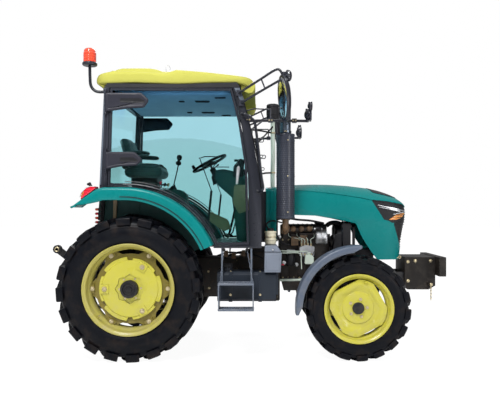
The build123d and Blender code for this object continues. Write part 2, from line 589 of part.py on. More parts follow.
GRILLE_SIDE = (
    (WHEELBASE + 209, 1538), (WHEELBASE + 383, 1517), (WHEELBASE + 554, 1491), (WHEELBASE + 649, 1450),
    (WHEELBASE + 649, 1040), (WHEELBASE + 525, 1052), (WHEELBASE + 446, 1294), (WHEELBASE + 349, 1325),
)
HOOD_EAR_IN, HOOD_EAR_OUT = 182.0, 194.0
with BuildPart() as hood:
    add(hood_form(0))
    add(hood_form(SHEET, drop=40), mode=Mode.SUBTRACT)
    side_slab(GRILLE_SIDE, -400, 400, Mode.SUBTRACT)
    for side in (-1, 1):
        across = sorted((side * (HOOD_EAR_OUT + GAP), side * (HOOD_EAR_OUT + GAP + 12)))
        block((HOOD_REAR + 3, HOOD_REAR + 60), across, (HOOD_PIVOT[1] - 14, HOOD_TOP_REAR + 1))
        notch = sorted((side * (HOOD_EAR_IN - GAP), side * (HOOD_EAR_OUT + GAP)))
        block((HOOD_REAR - 1, HOOD_REAR + 28), notch, (HOOD_PIVOT[1] - 20, HOOD_TOP_REAR + 20), Mode.SUBTRACT)
        rod((HOOD_PIVOT[0], side * 190, HOOD_PIVOT[1]), (HOOD_PIVOT[0], side * 220, HOOD_PIVOT[1]),
            HOOD_PIN_R + PIN_GAP, Mode.SUBTRACT)
save(hood, "hood")

GRILLE_WALL = 26.0
LENS_DEPTH = 9.0                 # how far the lamp lenses lie behind the grille's face
HEADLAMP = (
    (WHEELBASE + 270, 1500), (WHEELBASE + 440, 1478), (WHEELBASE + 640, 1440), (WHEELBASE + 640, 1392),
    (WHEELBASE + 530, 1372), (WHEELBASE + 440, 1340), (WHEELBASE + 385, 1345),
)
SLOT_LOW, SLAT_PITCH, SLOT, SLOT_ROWS = 1072.0, 44.0, 24.0, 5
with BuildPart() as headlamp_recess:
    side_slab(HEADLAMP, -400, 400)
    block((WHEELBASE + 340, WHEELBASE + 740), (-120, 120), (1300, 1600), Mode.SUBTRACT)
    add(hood_form(LENS_DEPTH), mode=Mode.SUBTRACT)
with BuildPart() as grille:
    side_slab(GRILLE_SIDE, -400, 400)
    add(hood_form(0), mode=Mode.INTERSECT)
    add(hood_form(GRILLE_WALL), mode=Mode.SUBTRACT)
    add(headlamp_recess.part, mode=Mode.SUBTRACT)
    for row in range(SLOT_ROWS):
        low = SLOT_LOW + SLAT_PITCH * row
        block((WHEELBASE + 480, WHEELBASE + 649), (-150, 150), (low, low + SLOT), Mode.SUBTRACT)
save(grille, "grille")

COWL_REAR, COWL_LOW = 1290.0, 1100.0
with BuildPart() as cowl:
    cross_slab(shoulders(), COWL_REAR, COWL_FRONT)
    block((COWL_REAR, COWL_FRONT), (-HOOD_HALF_REAR, HOOD_HALF_REAR), (COWL_LOW, COWL_TOP), Mode.INTERSECT)
    for side in (-1, 1):
        ear = ((COWL_FRONT - 2, 1610), (COWL_FRONT - 2, 1640), (HOOD_PIVOT[0] - 5, HOOD_PIVOT[1] + 4),
               (HOOD_PIVOT[0] + 5, HOOD_PIVOT[1] + 4), (HOOD_PIVOT[0] + 7, 1610))
        side_slab(ear, *sorted((side * HOOD_EAR_IN, side * HOOD_EAR_OUT)))
        rod((HOOD_PIVOT[0], side * HOOD_EAR_IN, HOOD_PIVOT[1]),
            (HOOD_PIVOT[0], side * (HOOD_EAR_OUT + GAP + 10), HOOD_PIVOT[1]), HOOD_PIN_R)
save(cowl, "cowl")

# ---- Cab --------------------------------------------------------------------------------------------------
FENDER_CENTRE = (-40.0, 735.0)
FENDER_R = 905.0
FENDER_TOP = FENDER_CENTRE[1] + FENDER_R
FENDER_SHEET = 12.0
FENDER_END = 24.0                # angle of the fender's front end above the level
CAB_TOP = 2596.0
CAB_REAR_LOW, CAB_REAR_HIGH = (-300.0, FENDER_TOP), (-255.0, CAB_TOP)
DOOR_GAP = 6.0
DOOR_FRAME = 45.0
SILL_Z = FLOOR_Z + 27


def cab_side():
    """Cab side outline: the rear foot, the roof line, the swept front pillar, the sill and the arch."""
    with BuildSketch(side_plane()) as face:
        with BuildLine():
            arch = CenterArc(FENDER_CENTRE, FENDER_R, FENDER_END, 90 - FENDER_END)
            pillar = ThreePointArc((1240, 1607), (1153, 2130), (1045, 2560))
            Polyline(arch @ 1, CAB_REAR_LOW, CAB_REAR_HIGH, (1036, CAB_TOP), pillar @ 1)
            Polyline(pillar @ 0, (1245, FLOOR_Z), ((arch @ 0).X, FLOOR_Z), arch @ 0)
        make_face()
    return face


def door_side():
    """Door outline: above the fender at the back, down to the sill at the front."""
    radius = FENDER_R + 22
    start = degrees(asin((SILL_Z + DOOR_GAP - FENDER_CENTRE[1]) / radius))
    with BuildSketch(side_plane()) as face:
        with BuildLine():
            arch = CenterArc(FENDER_CENTRE, radius, start, 90 - start)
            Polyline(arch @ 1, (-222, FENDER_TOP + 22), (-196, 2588), (962, 2588), (1039, 2287), (1105, 1859),
                     (1124, SILL_Z + DOOR_GAP), arch @ 0)
        make_face()
    return face


def grown(outline, amount):
    """A side outline moved outwards by an even amount, or inwards by a negative one."""
    with BuildSketch(side_plane()) as face:
        add(outline.sketch_local)
        offset(amount=amount, kind=Kind.INTERSECTION)
    return face.sketch


cab_outline, door_outline = cab_side(), door_side()
CAB_INNER = CAB_HALF_WIDTH - CAB_WALL
HINGE_X, HINGE_Y = -238.0, CAB_HALF_WIDTH + 17.0
HINGE_PIN_R = 6.0
HINGES = ((1809, 1989, 102), (2358, 2548, 168))   # low, high, front end of each cover

with BuildPart() as cab_frame:
    extrude(cab_outline.sketch, amount=CAB_HALF_WIDTH, both=True, dir=(0, -1, 0))
    block((-600, 1500), (-CAB_INNER, CAB_INNER), (900, 2700), Mode.SUBTRACT)
    extrude(grown(door_outline, DOOR_GAP), amount=900, both=True, dir=(0, -1, 0), mode=Mode.SUBTRACT)
    block((-245, -190), (-CAB_INNER, CAB_INNER), (2535, CAB_TOP))
    block((985, 1036), (-CAB_INNER, CAB_INNER), (2535, CAB_TOP))
    block((1205, 1240), (-CAB_INNER, CAB_INNER), (FLOOR_Z, FENDER_TOP))
    block((1240, COWL_REAR), (-300, 300), (1100, 1620))
    side_slab((CAB_REAR_LOW, (-297, 1700), (-250, 1700), (-250, FENDER_TOP)), -CAB_INNER, CAB_INNER)
    for side in (-1, 1):
        for low, high, _ in HINGES:
            rod((HINGE_X, side * HINGE_Y, low - 20), (HINGE_X, side * HINGE_Y, high + 20), HINGE_PIN_R)
            for z in (low - 26, high + GAP):
                across = sorted((side * (CAB_HALF_WIDTH - 5), side * (HINGE_Y + 10)))
                block((HINGE_X - 10, HINGE_X + 10), across, (z, z + 20))
save(cab_frame, "cab_frame")

with BuildPart() as cab_tub:
    block((800, 1205), (-CAB_INNER, CAB_INNER), (FLOOR_Z, FLOOR_Z + 23))
    block((560, 800), (-520, 520), (FLOOR_Z, FLOOR_Z + 23))
    block((560, 580), (-520, 520), (FLOOR_Z + 23, 1350))
    block((-290, 560), (-520, 520), (1330, 1350))
    block((-290, -270), (-520, 520), (1350, FENDER_TOP))
    fork = ((-285, 1420), (-285, 1352), (-400, STOW_Z - 14), (-480, STOW_Z - 14), (-480, STOW_Z + 14),
            (-410, STOW_Z + 14))
    for side in (-1, 1):
        side_slab(fork, *sorted((side * 24, side * 30)))
save(cab_tub, "cab_tub")

ROOF_HALF, ROOF_CORNER = 700.0, 150.0
ROOF_REAR, ROOF_FRONT = -367.0, 1180.0
with BuildPart() as cab_roof:
    side_slab(
        ((ROOF_REAR, 2645), (-358, 2749), (-205, 2768), (-157, 2826), (-109, 2830), (158, 2830), (254, 2797),
         (1120, 2716), (1162, 2700), (ROOF_FRONT, CAB_TOP), (-205, CAB_TOP)),
        -ROOF_HALF, ROOF_HALF,
    )
    crown = ((-ROOF_HALF, CAB_TOP), (-ROOF_HALF, 2680), (-ROOF_HALF + 30, 2715), (-ROOF_HALF + 120, 2752),
             (-480, 2780), (-430, 2830))
    cross_slab((*crown, *((-y, z) for y, z in reversed(crown))), ROOF_REAR, ROOF_FRONT, Mode.INTERSECT)
    with BuildSketch(level_plane(CAB_TOP)) as plan:
        with Locations(((ROOF_REAR + ROOF_FRONT) / 2, 0)):
            RectangleRounded(ROOF_FRONT - ROOF_REAR, 2 * ROOF_HALF, ROOF_CORNER)
    extrude(plan.sketch, amount=300, dir=(0, 0, 1), mode=Mode.INTERSECT)
save(cab_roof, "cab_roof")


def glass_sheet(x, z):
    """A bent pane that follows the cab's outline between two heights, inside the side frames."""
    with BuildPart() as pane:
        extrude(grown(cab_outline, -20), amount=CAB_INNER, both=True, dir=(0, -1, 0))
        extrude(grown(cab_outline, -20 - GLASS), amount=900, both=True, dir=(0, -1, 0), mode=Mode.SUBTRACT)
        block(x, (-CAB_INNER, CAB_INNER), z, Mode.INTERSECT)
    return pane


windshield = glass_sheet((990, 1300), (FENDER_TOP, 2535))
save(windshield, "windshield")
rear_window = glass_sheet((-400, -150), (1700, 2535))
save(rear_window, "rear_window")

with BuildPart() as door_frame:
    extrude(door_outline.sketch, amount=CAB_HALF_WIDTH, dir=(0, -1, 0))
    block((-500, 1500), (-CAB_HALF_WIDTH + 36, 10), (900, 2700), Mode.SUBTRACT)
    extrude(grown(door_outline, -DOOR_FRAME), amount=900, dir=(0, -1, 0), mode=Mode.SUBTRACT)
    for low, high, end in HINGES:
        middle = (low + high) / 2
        outline = ((HINGE_X + 4, low + 10), (HINGE_X + 4, high - 10), (end - 60, high - 10), (end, middle + 20),
                   (end, middle - 20), (end - 60, low + 40), (HINGE_X + 60, low + 10))
        side_slab(outline, -HINGE_Y - 11, -CAB_HALF_WIDTH - GAP)
        block((-190, end - 60), (-CAB_HALF_WIDTH - GAP, -CAB_HALF_WIDTH + 18), (low + 50, high - 50))
        rod((HINGE_X, -HINGE_Y, low), (HINGE_X, -HINGE_Y, high), 11)
        rod((HINGE_X, -HINGE_Y, low - 1), (HINGE_X, -HINGE_Y, high + 1), HINGE_PIN_R + PIN_GAP, Mode.SUBTRACT)
with BuildPart() as door_glass:
    extrude(grown(door_outline, -DOOR_FRAME), amount=CAB_HALF_WIDTH - 12, dir=(0, -1, 0))
    block((-500, 1500), (-CAB_HALF_WIDTH + 18, 10), (900, 2700), Mode.SUBTRACT)
    add(door_frame.part, mode=Mode.SUBTRACT)
save_pair(door_frame, "door_frame")
save_pair(door_glass, "door_glass")

FENDER_TAIL = (-527.0, 1458.0)
LIP_DEPTH, LIP = 85.0, 8.0
PANEL_DEPTH = 250.0              # the wheel house's inner wall below the fender's top
PANEL_OUT = TRACK / 2 - REAR_TYRE_W / 2 - 10


def arch_band(depth, tail, y_low, y_high):
    """Adds an upright plate under the fender's arc, with its rear edge along tail."""
    with BuildSketch(side_plane(y_high)) as band:
        with BuildLine():
            top = CenterArc(FENDER_CENTRE, FENDER_R - 1, FENDER_END, 90 - FENDER_END)
            under = CenterArc(FENDER_CENTRE, FENDER_R - depth, FENDER_END, 90 - FENDER_END)
            Line(top @ 0, under @ 0)
            Polyline(top @ 1, *tail, under @ 1)
        make_face()
    extrude(band.sketch, amount=y_high - y_low, dir=(0, -1, 0))


with BuildPart() as rear_fenders:
    with BuildSketch(side_plane(-FENDER_IN)) as sheet:
        with BuildLine():
            top = CenterArc(FENDER_CENTRE, FENDER_R, FENDER_END, 90 - FENDER_END)
            under = CenterArc(FENDER_CENTRE, FENDER_R - FENDER_SHEET, FENDER_END, 90 - FENDER_END)
            Line(top @ 0, under @ 0)
            Polyline(top @ 1, (-285, FENDER_TOP), FENDER_TAIL, (FENDER_TAIL[0] + 8, FENDER_TAIL[1] - 12),
                     (-281, FENDER_TOP - FENDER_SHEET), under @ 1)
        make_face()
    extrude(sheet.sketch, amount=FENDER_OUT - FENDER_IN, dir=(0, -1, 0))
    lip_tail = ((-285, FENDER_TOP - 1), (-524, 1459), (-508, 1447), (-300, FENDER_TOP - LIP_DEPTH - 4))
    arch_band(LIP_DEPTH, lip_tail, -FENDER_OUT, -FENDER_OUT + LIP)
    panel_tail = ((-285, FENDER_TOP - 2), (-350, 1590), (-372, 1330), (-300, 1300))
    arch_band(PANEL_DEPTH, panel_tail, -PANEL_OUT, -PANEL_OUT + LIP)
    mirror(about=Plane.XZ)
save(rear_fenders, "rear_fenders")

# ---- Cab interior ------------------------------------------------------------------------------------------
COLUMN_TILT = 27.5
WHEEL_HUB = (684.0, 1932.0)
column = (cos(radians(90 - COLUMN_TILT)), -sin(radians(90 - COLUMN_TILT)))


def down_column(distance):
    """A point on the steering column's axis below the steering wheel's hub."""
    return (WHEEL_HUB[0] + distance * column[0], 0, WHEEL_HUB[1] + distance * column[1])


DECK_Z = 1350.0
with BuildPart() as dashboard:
    side_slab(((754, 1850), (1099, 1790), (1099, 1560), (1190, FLOOR_Z + 23), (980, FLOOR_Z + 23), (930, 1560),
               (775, 1690)), -190, 190)
    rod(down_column(60), down_column(200), 32, sides=ROD_SIDES)
    rod(down_column(55), down_column(150), 12.0 + PIN_GAP, Mode.SUBTRACT)
save(dashboard, "dashboard")

SEAT_HALF = 250.0
with BuildPart() as seat:
    side_slab(((-100, DECK_Z), (-60, 1560), (-130, 1700), (-130, 1765), (180, 1765), (180, 1700), (80, 1560),
               (120, DECK_Z)), -150, 150)
    cushion = ((-205, 1765), (-205, 1880), (150, 1892), (222, 1872), (232, 1835), (205, 1765))
    side_slab(cushion, -SEAT_HALF, SEAT_HALF)
    for side in (-1, 1):
        bolster = [(x, z + 26) for x, z in cushion[1:5]]
        side_slab((*bolster, (205, 1830), (-180, 1830)), *sorted((side * (SEAT_HALF - 70), side * SEAT_HALF)))
        side_slab(((-150, 1990), (-150, 2045), (90, 2035), (110, 2010), (90, 1990)),
                  *sorted((side * (SEAT_HALF - 12), side * (SEAT_HALF + 45))))
    side_slab(((-205, 1860), (-60, 1880), (-110, 2160), (-135, 2200), (-180, 2207), (-232, 2195), (-238, 2150)),
              10 - SEAT_HALF, SEAT_HALF - 10)
save(seat, "seat")

with BuildPart() as levers:
    block((150, 500), (-470, -330), (DECK_Z, 1640))
    rod((350, -400, 1630), (417, -400, 1940), 8, sides=TUBE_SIDES)
    rod((417, -400, 1930), (425, -400, 1975), 22, sides=ROD_SIDES)
save(levers, "levers")

STEERING_R, STEERING_GRIP, STEERING_SIDES = 204.0, 14.0, 24
hub = Vector(REAR_AXLE_X + WHEEL_HUB[0], 0, WHEEL_HUB[1])
wheel_face = Plane(origin=hub, x_dir=(0, 1, 0), z_dir=(-column[0], 0, -column[1]))
inside = STEERING_R - 2 * STEERING_GRIP
grip_slice = ring_slice((
    (-STEERING_GRIP, STEERING_R - 1.4 * STEERING_GRIP), (-0.4 * STEERING_GRIP, STEERING_R),
    (0.4 * STEERING_GRIP, STEERING_R), (STEERING_GRIP, STEERING_R - 1.4 * STEERING_GRIP),
    (STEERING_GRIP, inside), (-STEERING_GRIP, inside),
), STEERING_SIDES)
with BuildPart(wheel_face) as steering_wheel:
    with PolarLocations(0, STEERING_SIDES):
        add(grip_slice)
    with BuildSketch(wheel_face.offset(-12)):
        RegularPolygon(38, ROD_SIDES)
        with PolarLocations(0, 3, start_angle=90):
            with Locations((100, 0)):
                Rectangle(2 * (inside - 98), 26)
    extrude(amount=24)
    rod(down_column(10), down_column(140), 12)
save(steering_wheel, "steering_wheel")

# ---- Lamps, mirrors, rails, beacon ----------------------------------------------------------------------
with BuildPart() as tail_lamps:
    for side in (-1, 1):
        lamp = ((-440, 1500), (-425, 1590), (-383, 1636), (-342, 1652), (-303, 1650), (-303, 1600))
        side_slab(lamp, *sorted((side * 740, side * 868)))
    add(rear_fenders.part, mode=Mode.SUBTRACT)
    side_slab(((-520, 1300), (-527, 1452), (-285, 1634), (-200, 1634), (-200, 1300)), -900, 900, Mode.SUBTRACT)
save(tail_lamps, "tail_lamps")

with BuildPart() as beacon:
    bent_tube(((-240, -700, 2560), (-375, -700, 2560), (-398, -700, 2815)), 60, 15)
    add(cab_frame.part, mode=Mode.SUBTRACT)
    rod((-398, -700, 2807), (-398, -700, 2840), 70, sides=DRUM_SIDES)
    rod((-398, -700, 2838), (-398, -700, 2979), 62, sides=DRUM_SIDES)
save(beacon, "beacon")

MIRROR_SIDES = 16
MIRRORS = (                      # rear face, distance out, height, half width, half height, depth
    (1430, 950, 2469, 100, 218, 60),
    (1472, 985, 2652, 46, 54, 38),
)
with BuildPart() as mirrors:
    for side in (-1, 1):
        bent_tube(((1020, side * 710, 2540), (1080, side * 800, 2560), (1380, side * 930, 2720),
                   (1440, side * 950, 2640)), 40, 12)
        bent_tube(((1040, side * 710, 2440), (1110, side * 800, 2470), (1440, side * 950, 2630)), 40, 12)
        for x, y, z, half_width, half_height, depth in MIRRORS:
            turns = [2 * pi * k / MIRROR_SIDES for k in range(MIRROR_SIDES)]
            oval = [(side * y + half_width * cos(a), z + half_height * sin(a)) for a in turns]
            cross_slab(oval, x, x + depth)
    add(cab_frame.part, mode=Mode.SUBTRACT)
    block((900, 1100), (-CAB_HALF_WIDTH, CAB_HALF_WIDTH), (2300, 2700), Mode.SUBTRACT)
save(mirrors, "mirrors")

with BuildPart() as work_lamps:
    for side in (-1, 1):
        rod((1090, side * 700, 2290), (1700, side * 640, 2290), 14, sides=TUBE_SIDES)
        rod((1659, side * 640, 2350), (1724, side * 640, 2350), 66, sides=DRUM_SIDES)
        rod((1690, side * 640, 2280), (1690, side * 640, 2300), 10, sides=TUBE_SIDES)
        rod((1692, side * 636, 2290), (1712, side * 735, 2290), 11, sides=TUBE_SIDES)
        rod((1712, side * 735, 2280), (1712, side * 735, 2400), 9, sides=TUBE_SIDES)
        rod((1683, side * 735, 2418), (1735, side * 735, 2418), 42, sides=DRUM_SIDES)
    add(cab_frame.part, mode=Mode.SUBTRACT)
save(work_lamps, "work_lamps")

with BuildPart() as handrails:
    for side in (-1, 1):
        bent_tube(
            ((1065, side * 710, 2338), (1068, side * 790, 2338), (1175, side * 790, 2270),
             (1262, side * 790, 1618), (1200, side * 710, 1600)), 30, 13,
        )
    add(cab_frame.part, mode=Mode.SUBTRACT)
    block((1000, 1235), (-CAB_HALF_WIDTH, CAB_HALF_WIDTH), (1500, 2400), Mode.SUBTRACT)
save(handrails, "handrails")

# ---- Hitch ---------------------------------------------------------------------------------------------------
def link_end(base, length, tilt=LINK_TILT):
    """A point that lies back and up from a pivot at the lower links' tilt."""
    return (base[0] - length * cos(radians(tilt)), base[1] + length * sin(radians(tilt)))


BALL_BORE_R = 14.35
ROD_PIN_R = 12.0
link_tip = link_end(LINK_PIVOT, LINK_LENGTH)
rod_low = link_end(LINK_PIVOT, LIFT_ARM)
rod_high = link_end(ROCKSHAFT, LIFT_ARM)

with BuildPart() as lower_links:
    for side in (-1, 1):
        y_low, y_high = side * LINK_Y - 11, side * LINK_Y + 11
        tip, low = link_tip, LINK_PIVOT
        for x, z, radius, half in ((*tip, 42, 22.5), (*low, 40, 22.5), (*rod_low, 40, 11)):
            rod((x, side * LINK_Y - half, z), (x, side * LINK_Y + half, z), radius, sides=ROD_SIDES)
        rise = (-sin(radians(LINK_TILT)), -cos(radians(LINK_TILT)))
        bar = [(tip[0] + s * 34 * -rise[0], tip[1] - s * 34 * rise[1]) for s in (-1, 1)]
        bar += [(low[0] + s * 34 * -rise[0], low[1] - s * 34 * rise[1]) for s in (1, -1)]
        side_slab(bar, y_low, y_high)
        for x, z, radius in ((*tip, BALL_BORE_R), (*low, LINK_PIN_R + PIN_GAP)):
            rod((x, side * LINK_Y - 30, z), (x, side * LINK_Y + 30, z), radius, Mode.SUBTRACT)
        rod((rod_low[0], side * (LINK_Y + 10), rod_low[1]), (rod_low[0], side * (LINK_Y + 50), rod_low[1]),
            ROD_PIN_R)
save(lower_links, "lower_links")

with BuildPart() as lift_rods:
    for side in (-1, 1):
        y = side * (LINK_Y + 32)
        rod((rod_low[0], y, rod_low[1]), (rod_low[0], y, rod_high[1]), 17, sides=ROD_SIDES)
        for (x, z), bore in ((rod_low, ROD_PIN_R + PIN_GAP), (rod_high, ROD_PIN_R + 1)):
            rod((x, y - 14, z), (x, y + 14, z), 28, sides=ROD_SIDES)
            rod((x, y - 20, z), (x, y + 20, z), bore, Mode.SUBTRACT)
save(lift_rods, "lift_rods")

with BuildPart() as rockshaft:
    rod((ROCKSHAFT[0], -LINK_Y - 12, ROCKSHAFT[1]), (ROCKSHAFT[0], LINK_Y + 12, ROCKSHAFT[1]), SHAFT_R)
    for side in (-1, 1):
        y_low, y_high = side * LINK_Y - 12, side * LINK_Y + 12
        rod((rod_high[0], y_low, rod_high[1]), (rod_high[0], y_high, rod_high[1]), 30, sides=ROD_SIDES)
        rod((ROCKSHAFT[0], y_low, ROCKSHAFT[1]), (ROCKSHAFT[0], y_high, ROCKSHAFT[1]), 50, sides=ROD_SIDES)
        bar = ((rod_high[0] - 17, rod_high[1] - 22), (rod_high[0] + 17, rod_high[1] + 22),
               (ROCKSHAFT[0] + 25, ROCKSHAFT[1] + 36), (ROCKSHAFT[0] - 25, ROCKSHAFT[1] - 36))
        side_slab(bar, y_low, y_high)
        rod((rod_high[0], side * (LINK_Y + 10), rod_high[1]), (rod_high[0], side * (LINK_Y + 50), rod_high[1]),
            ROD_PIN_R)
save(rockshaft, "rockshaft")

top_tip = link_end(TOP_PIVOT, TOP_LINK_LENGTH, TOP_LINK_TILT)
with BuildPart() as top_link:
    rod((top_tip[0], 0, top_tip[1]), (TOP_PIVOT[0], 0, TOP_PIVOT[1]), 17, sides=ROD_SIDES)
    for x, z in (TOP_PIVOT, top_tip):
        rod((x, -25.5, z), (x, 25.5, z), 30, sides=ROD_SIDES)
        rod((x, -30, z), (x, 30, z), TOP_PIN_R + PIN_GAP, Mode.SUBTRACT)
save(top_link, "top_link")

with BuildPart() as drawbar:
    block((-560, 260), (-35, 35), (370, 400))
    block((-200, -140), (-60, 60), (400, 480))
    block((205, 260), (-60, 60), (400, 520))
    rod((-520, 0, 360), (-520, 0, 410), 16.5, Mode.SUBTRACT)
save(drawbar, "drawbar")
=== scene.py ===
"""Looks of the cab tractor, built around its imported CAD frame.

Lengths are in mm and places are given as (ahead of the rear axle, left of the middle, above the
ground); at() turns them into the frame's metres. Right-hand pieces are drawn and the left-hand
ones are their mirror images.
"""
import json
from math import asin, atan2, ceil, cos, degrees, hypot, pi, radians, sin, sqrt, tau
import random

import bmesh
import bpy
from mathutils import Matrix, Vector

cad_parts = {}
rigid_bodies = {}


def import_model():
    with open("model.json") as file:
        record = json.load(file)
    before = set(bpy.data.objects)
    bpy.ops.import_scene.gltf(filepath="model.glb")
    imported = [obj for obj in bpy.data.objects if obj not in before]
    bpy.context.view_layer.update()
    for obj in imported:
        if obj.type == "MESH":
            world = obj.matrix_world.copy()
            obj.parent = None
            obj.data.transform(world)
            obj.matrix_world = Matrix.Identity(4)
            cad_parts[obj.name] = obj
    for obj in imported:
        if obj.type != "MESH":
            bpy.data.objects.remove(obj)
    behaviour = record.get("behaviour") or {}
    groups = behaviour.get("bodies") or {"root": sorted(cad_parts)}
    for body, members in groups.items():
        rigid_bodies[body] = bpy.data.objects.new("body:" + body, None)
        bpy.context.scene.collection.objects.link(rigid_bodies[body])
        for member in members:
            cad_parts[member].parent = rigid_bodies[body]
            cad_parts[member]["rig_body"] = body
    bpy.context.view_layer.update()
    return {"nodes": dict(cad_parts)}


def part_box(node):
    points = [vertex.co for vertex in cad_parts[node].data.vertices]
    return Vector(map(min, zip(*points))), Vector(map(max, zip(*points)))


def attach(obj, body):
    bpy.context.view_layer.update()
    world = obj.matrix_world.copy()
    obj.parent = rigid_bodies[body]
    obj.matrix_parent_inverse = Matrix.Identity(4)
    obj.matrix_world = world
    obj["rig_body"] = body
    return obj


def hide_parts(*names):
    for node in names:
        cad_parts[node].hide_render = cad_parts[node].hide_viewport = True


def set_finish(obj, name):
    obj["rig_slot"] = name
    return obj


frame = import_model()
nodes = frame["nodes"]

MM = 0.001
rear_low, rear_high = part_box("rear_wheel_right")
AXLE_X = (rear_low.x + rear_high.x) / 2
SIDES = (("right", -1), ("left", 1))


def at(x, y, z):
    """A point of the frame, in metres, from mm ahead of the rear axle, to the left and up."""
    return Vector((AXLE_X + x * MM, y * MM, z * MM))


# ---- Camera, light and floor ------------------------------------------------------------------
CAMERA_AHEAD, CAMERA_OUT, CAMERA_UP = 1229, -6120, 1430
FOCAL = 40.82
WHITE = (1.0, 1.0, 1.0, 1.0)


def set_camera():
    data = bpy.data.cameras.new("camera")
    data.lens = FOCAL
    data.sensor_width = 36
    data.shift_x, data.shift_y = -0.02, 0.02
    camera = bpy.data.objects.new("camera", data)
    camera.location = at(CAMERA_AHEAD, CAMERA_OUT, CAMERA_UP)
    camera.rotation_euler = (pi / 2, 0, 0)
    bpy.context.scene.collection.objects.link(camera)
    bpy.context.scene.camera = camera


def area_light(name, place, target, size, power):
    data = bpy.data.lights.new(name, "AREA")
    data.shape = "DISK"
    data.size = size
    data.energy = power
    lamp = bpy.data.objects.new(name, data)
    lamp.location = place
    lamp.rotation_euler = (Vector(target) - Vector(place)).to_track_quat("-Z", "Y").to_euler()
    bpy.context.scene.collection.objects.link(lamp)


def seen_by_eye(tree):
    """A factor of 1 for rays from the camera or through glass."""
    paths = tree.nodes.new("ShaderNodeLightPath")
    add = tree.nodes.new("ShaderNodeMath")
    add.operation = "ADD"
    add.use_clamp = True
    tree.links.new(paths.outputs["Is Camera Ray"], add.inputs[0])
    tree.links.new(paths.outputs["Is Transmission Ray"], add.inputs[1])
    return add.outputs[0]


def set_studio():
    scene = bpy.context.scene
    scene.view_settings.view_transform = "Standard"
    world = bpy.data.worlds.new("studio")
    world.use_nodes = True
    scene.world = world
    tree = world.node_tree
    soft = tree.nodes["Background"]
    aim = tree.nodes.new("ShaderNodeTexCoord").outputs["Generated"]
    split = tree.nodes.new("ShaderNodeSeparateXYZ")
    tree.links.new(aim, split.inputs[0])
    ramp = tree.nodes.new("ShaderNodeValToRGB")
    ramp.color_ramp.elements[0].position = 0.42
    ramp.color_ramp.elements[0].color = (0.10, 0.10, 0.10, 1)
    ramp.color_ramp.elements[1].position = 0.95
    ramp.color_ramp.elements[1].color = (1.0, 1.0, 1.0, 1)
    middle = ramp.color_ramp.elements.new(0.55)
    middle.color = (0.17, 0.18, 0.20, 1)
    lift = tree.nodes.new("ShaderNodeMapRange")
    lift.inputs[1].default_value, lift.inputs[2].default_value = -1.0, 1.0
    tree.links.new(split.outputs["Z"], lift.inputs[0])
    tree.links.new(lift.outputs[0], ramp.inputs[0])
    tree.links.new(ramp.outputs[0], soft.inputs["Color"])
    soft.inputs["Strength"].default_value = 1.0
    white = tree.nodes.new("ShaderNodeBackground")
    white.inputs["Color"].default_value = WHITE
    white.inputs["Strength"].default_value = 1.0
    mix = tree.nodes.new("ShaderNodeMixShader")
    tree.links.new(seen_by_eye(tree), mix.inputs[0])
    tree.links.new(soft.outputs[0], mix.inputs[1])
    tree.links.new(white.outputs[0], mix.inputs[2])
    tree.links.new(mix.outputs[0], tree.nodes["World Output"].inputs["Surface"])
    area_light("key", (-2.0, -5.0, 6.5), (0, 0, 0.9), 3.0, 560)
    area_light("fill", (5.5, -5.5, 2.6), (0, 0, 1.0), 2.6, 150)
    area_light("back", (-1.0, 6.0, 7.5), (0, 0, 1.2), 3.0, 240)


def set_floor():
    mesh = bpy.data.meshes.new("floor")
    reach = 40
    corners = [(-reach, -reach, 0), (reach, -reach, 0), (reach, reach, 0), (-reach, reach, 0)]
    mesh.from_pydata(corners, [], [(0, 1, 2, 3)])
    floor = bpy.data.objects.new("floor", mesh)
    bpy.context.scene.collection.objects.link(floor)
    paint = bpy.data.materials.new("floor")
    paint.use_nodes = True
    tree = paint.node_tree
    shader = tree.nodes["Principled BSDF"]
    shader.inputs["Base Color"].default_value = (0.9, 0.9, 0.9, 1)
    shader.inputs["Roughness"].default_value = 0.9
    glow = tree.nodes.new("ShaderNodeEmission")
    glow.inputs["Color"].default_value = WHITE
    glow.inputs["Strength"].default_value = 1.1
    share = tree.nodes.new("ShaderNodeMath")
    share.operation = "MULTIPLY"
    share.inputs[1].default_value = 0.86
    mix = tree.nodes.new("ShaderNodeMixShader")
    tree.links.new(seen_by_eye(tree), share.inputs[0])
    tree.links.new(share.outputs[0], mix.inputs[0])
    tree.links.new(shader.outputs[0], mix.inputs[1])
    tree.links.new(glow.outputs[0], mix.inputs[2])
    tree.links.new(mix.outputs[0], tree.nodes["Material Output"].inputs["Surface"])
    mesh.materials.append(paint)


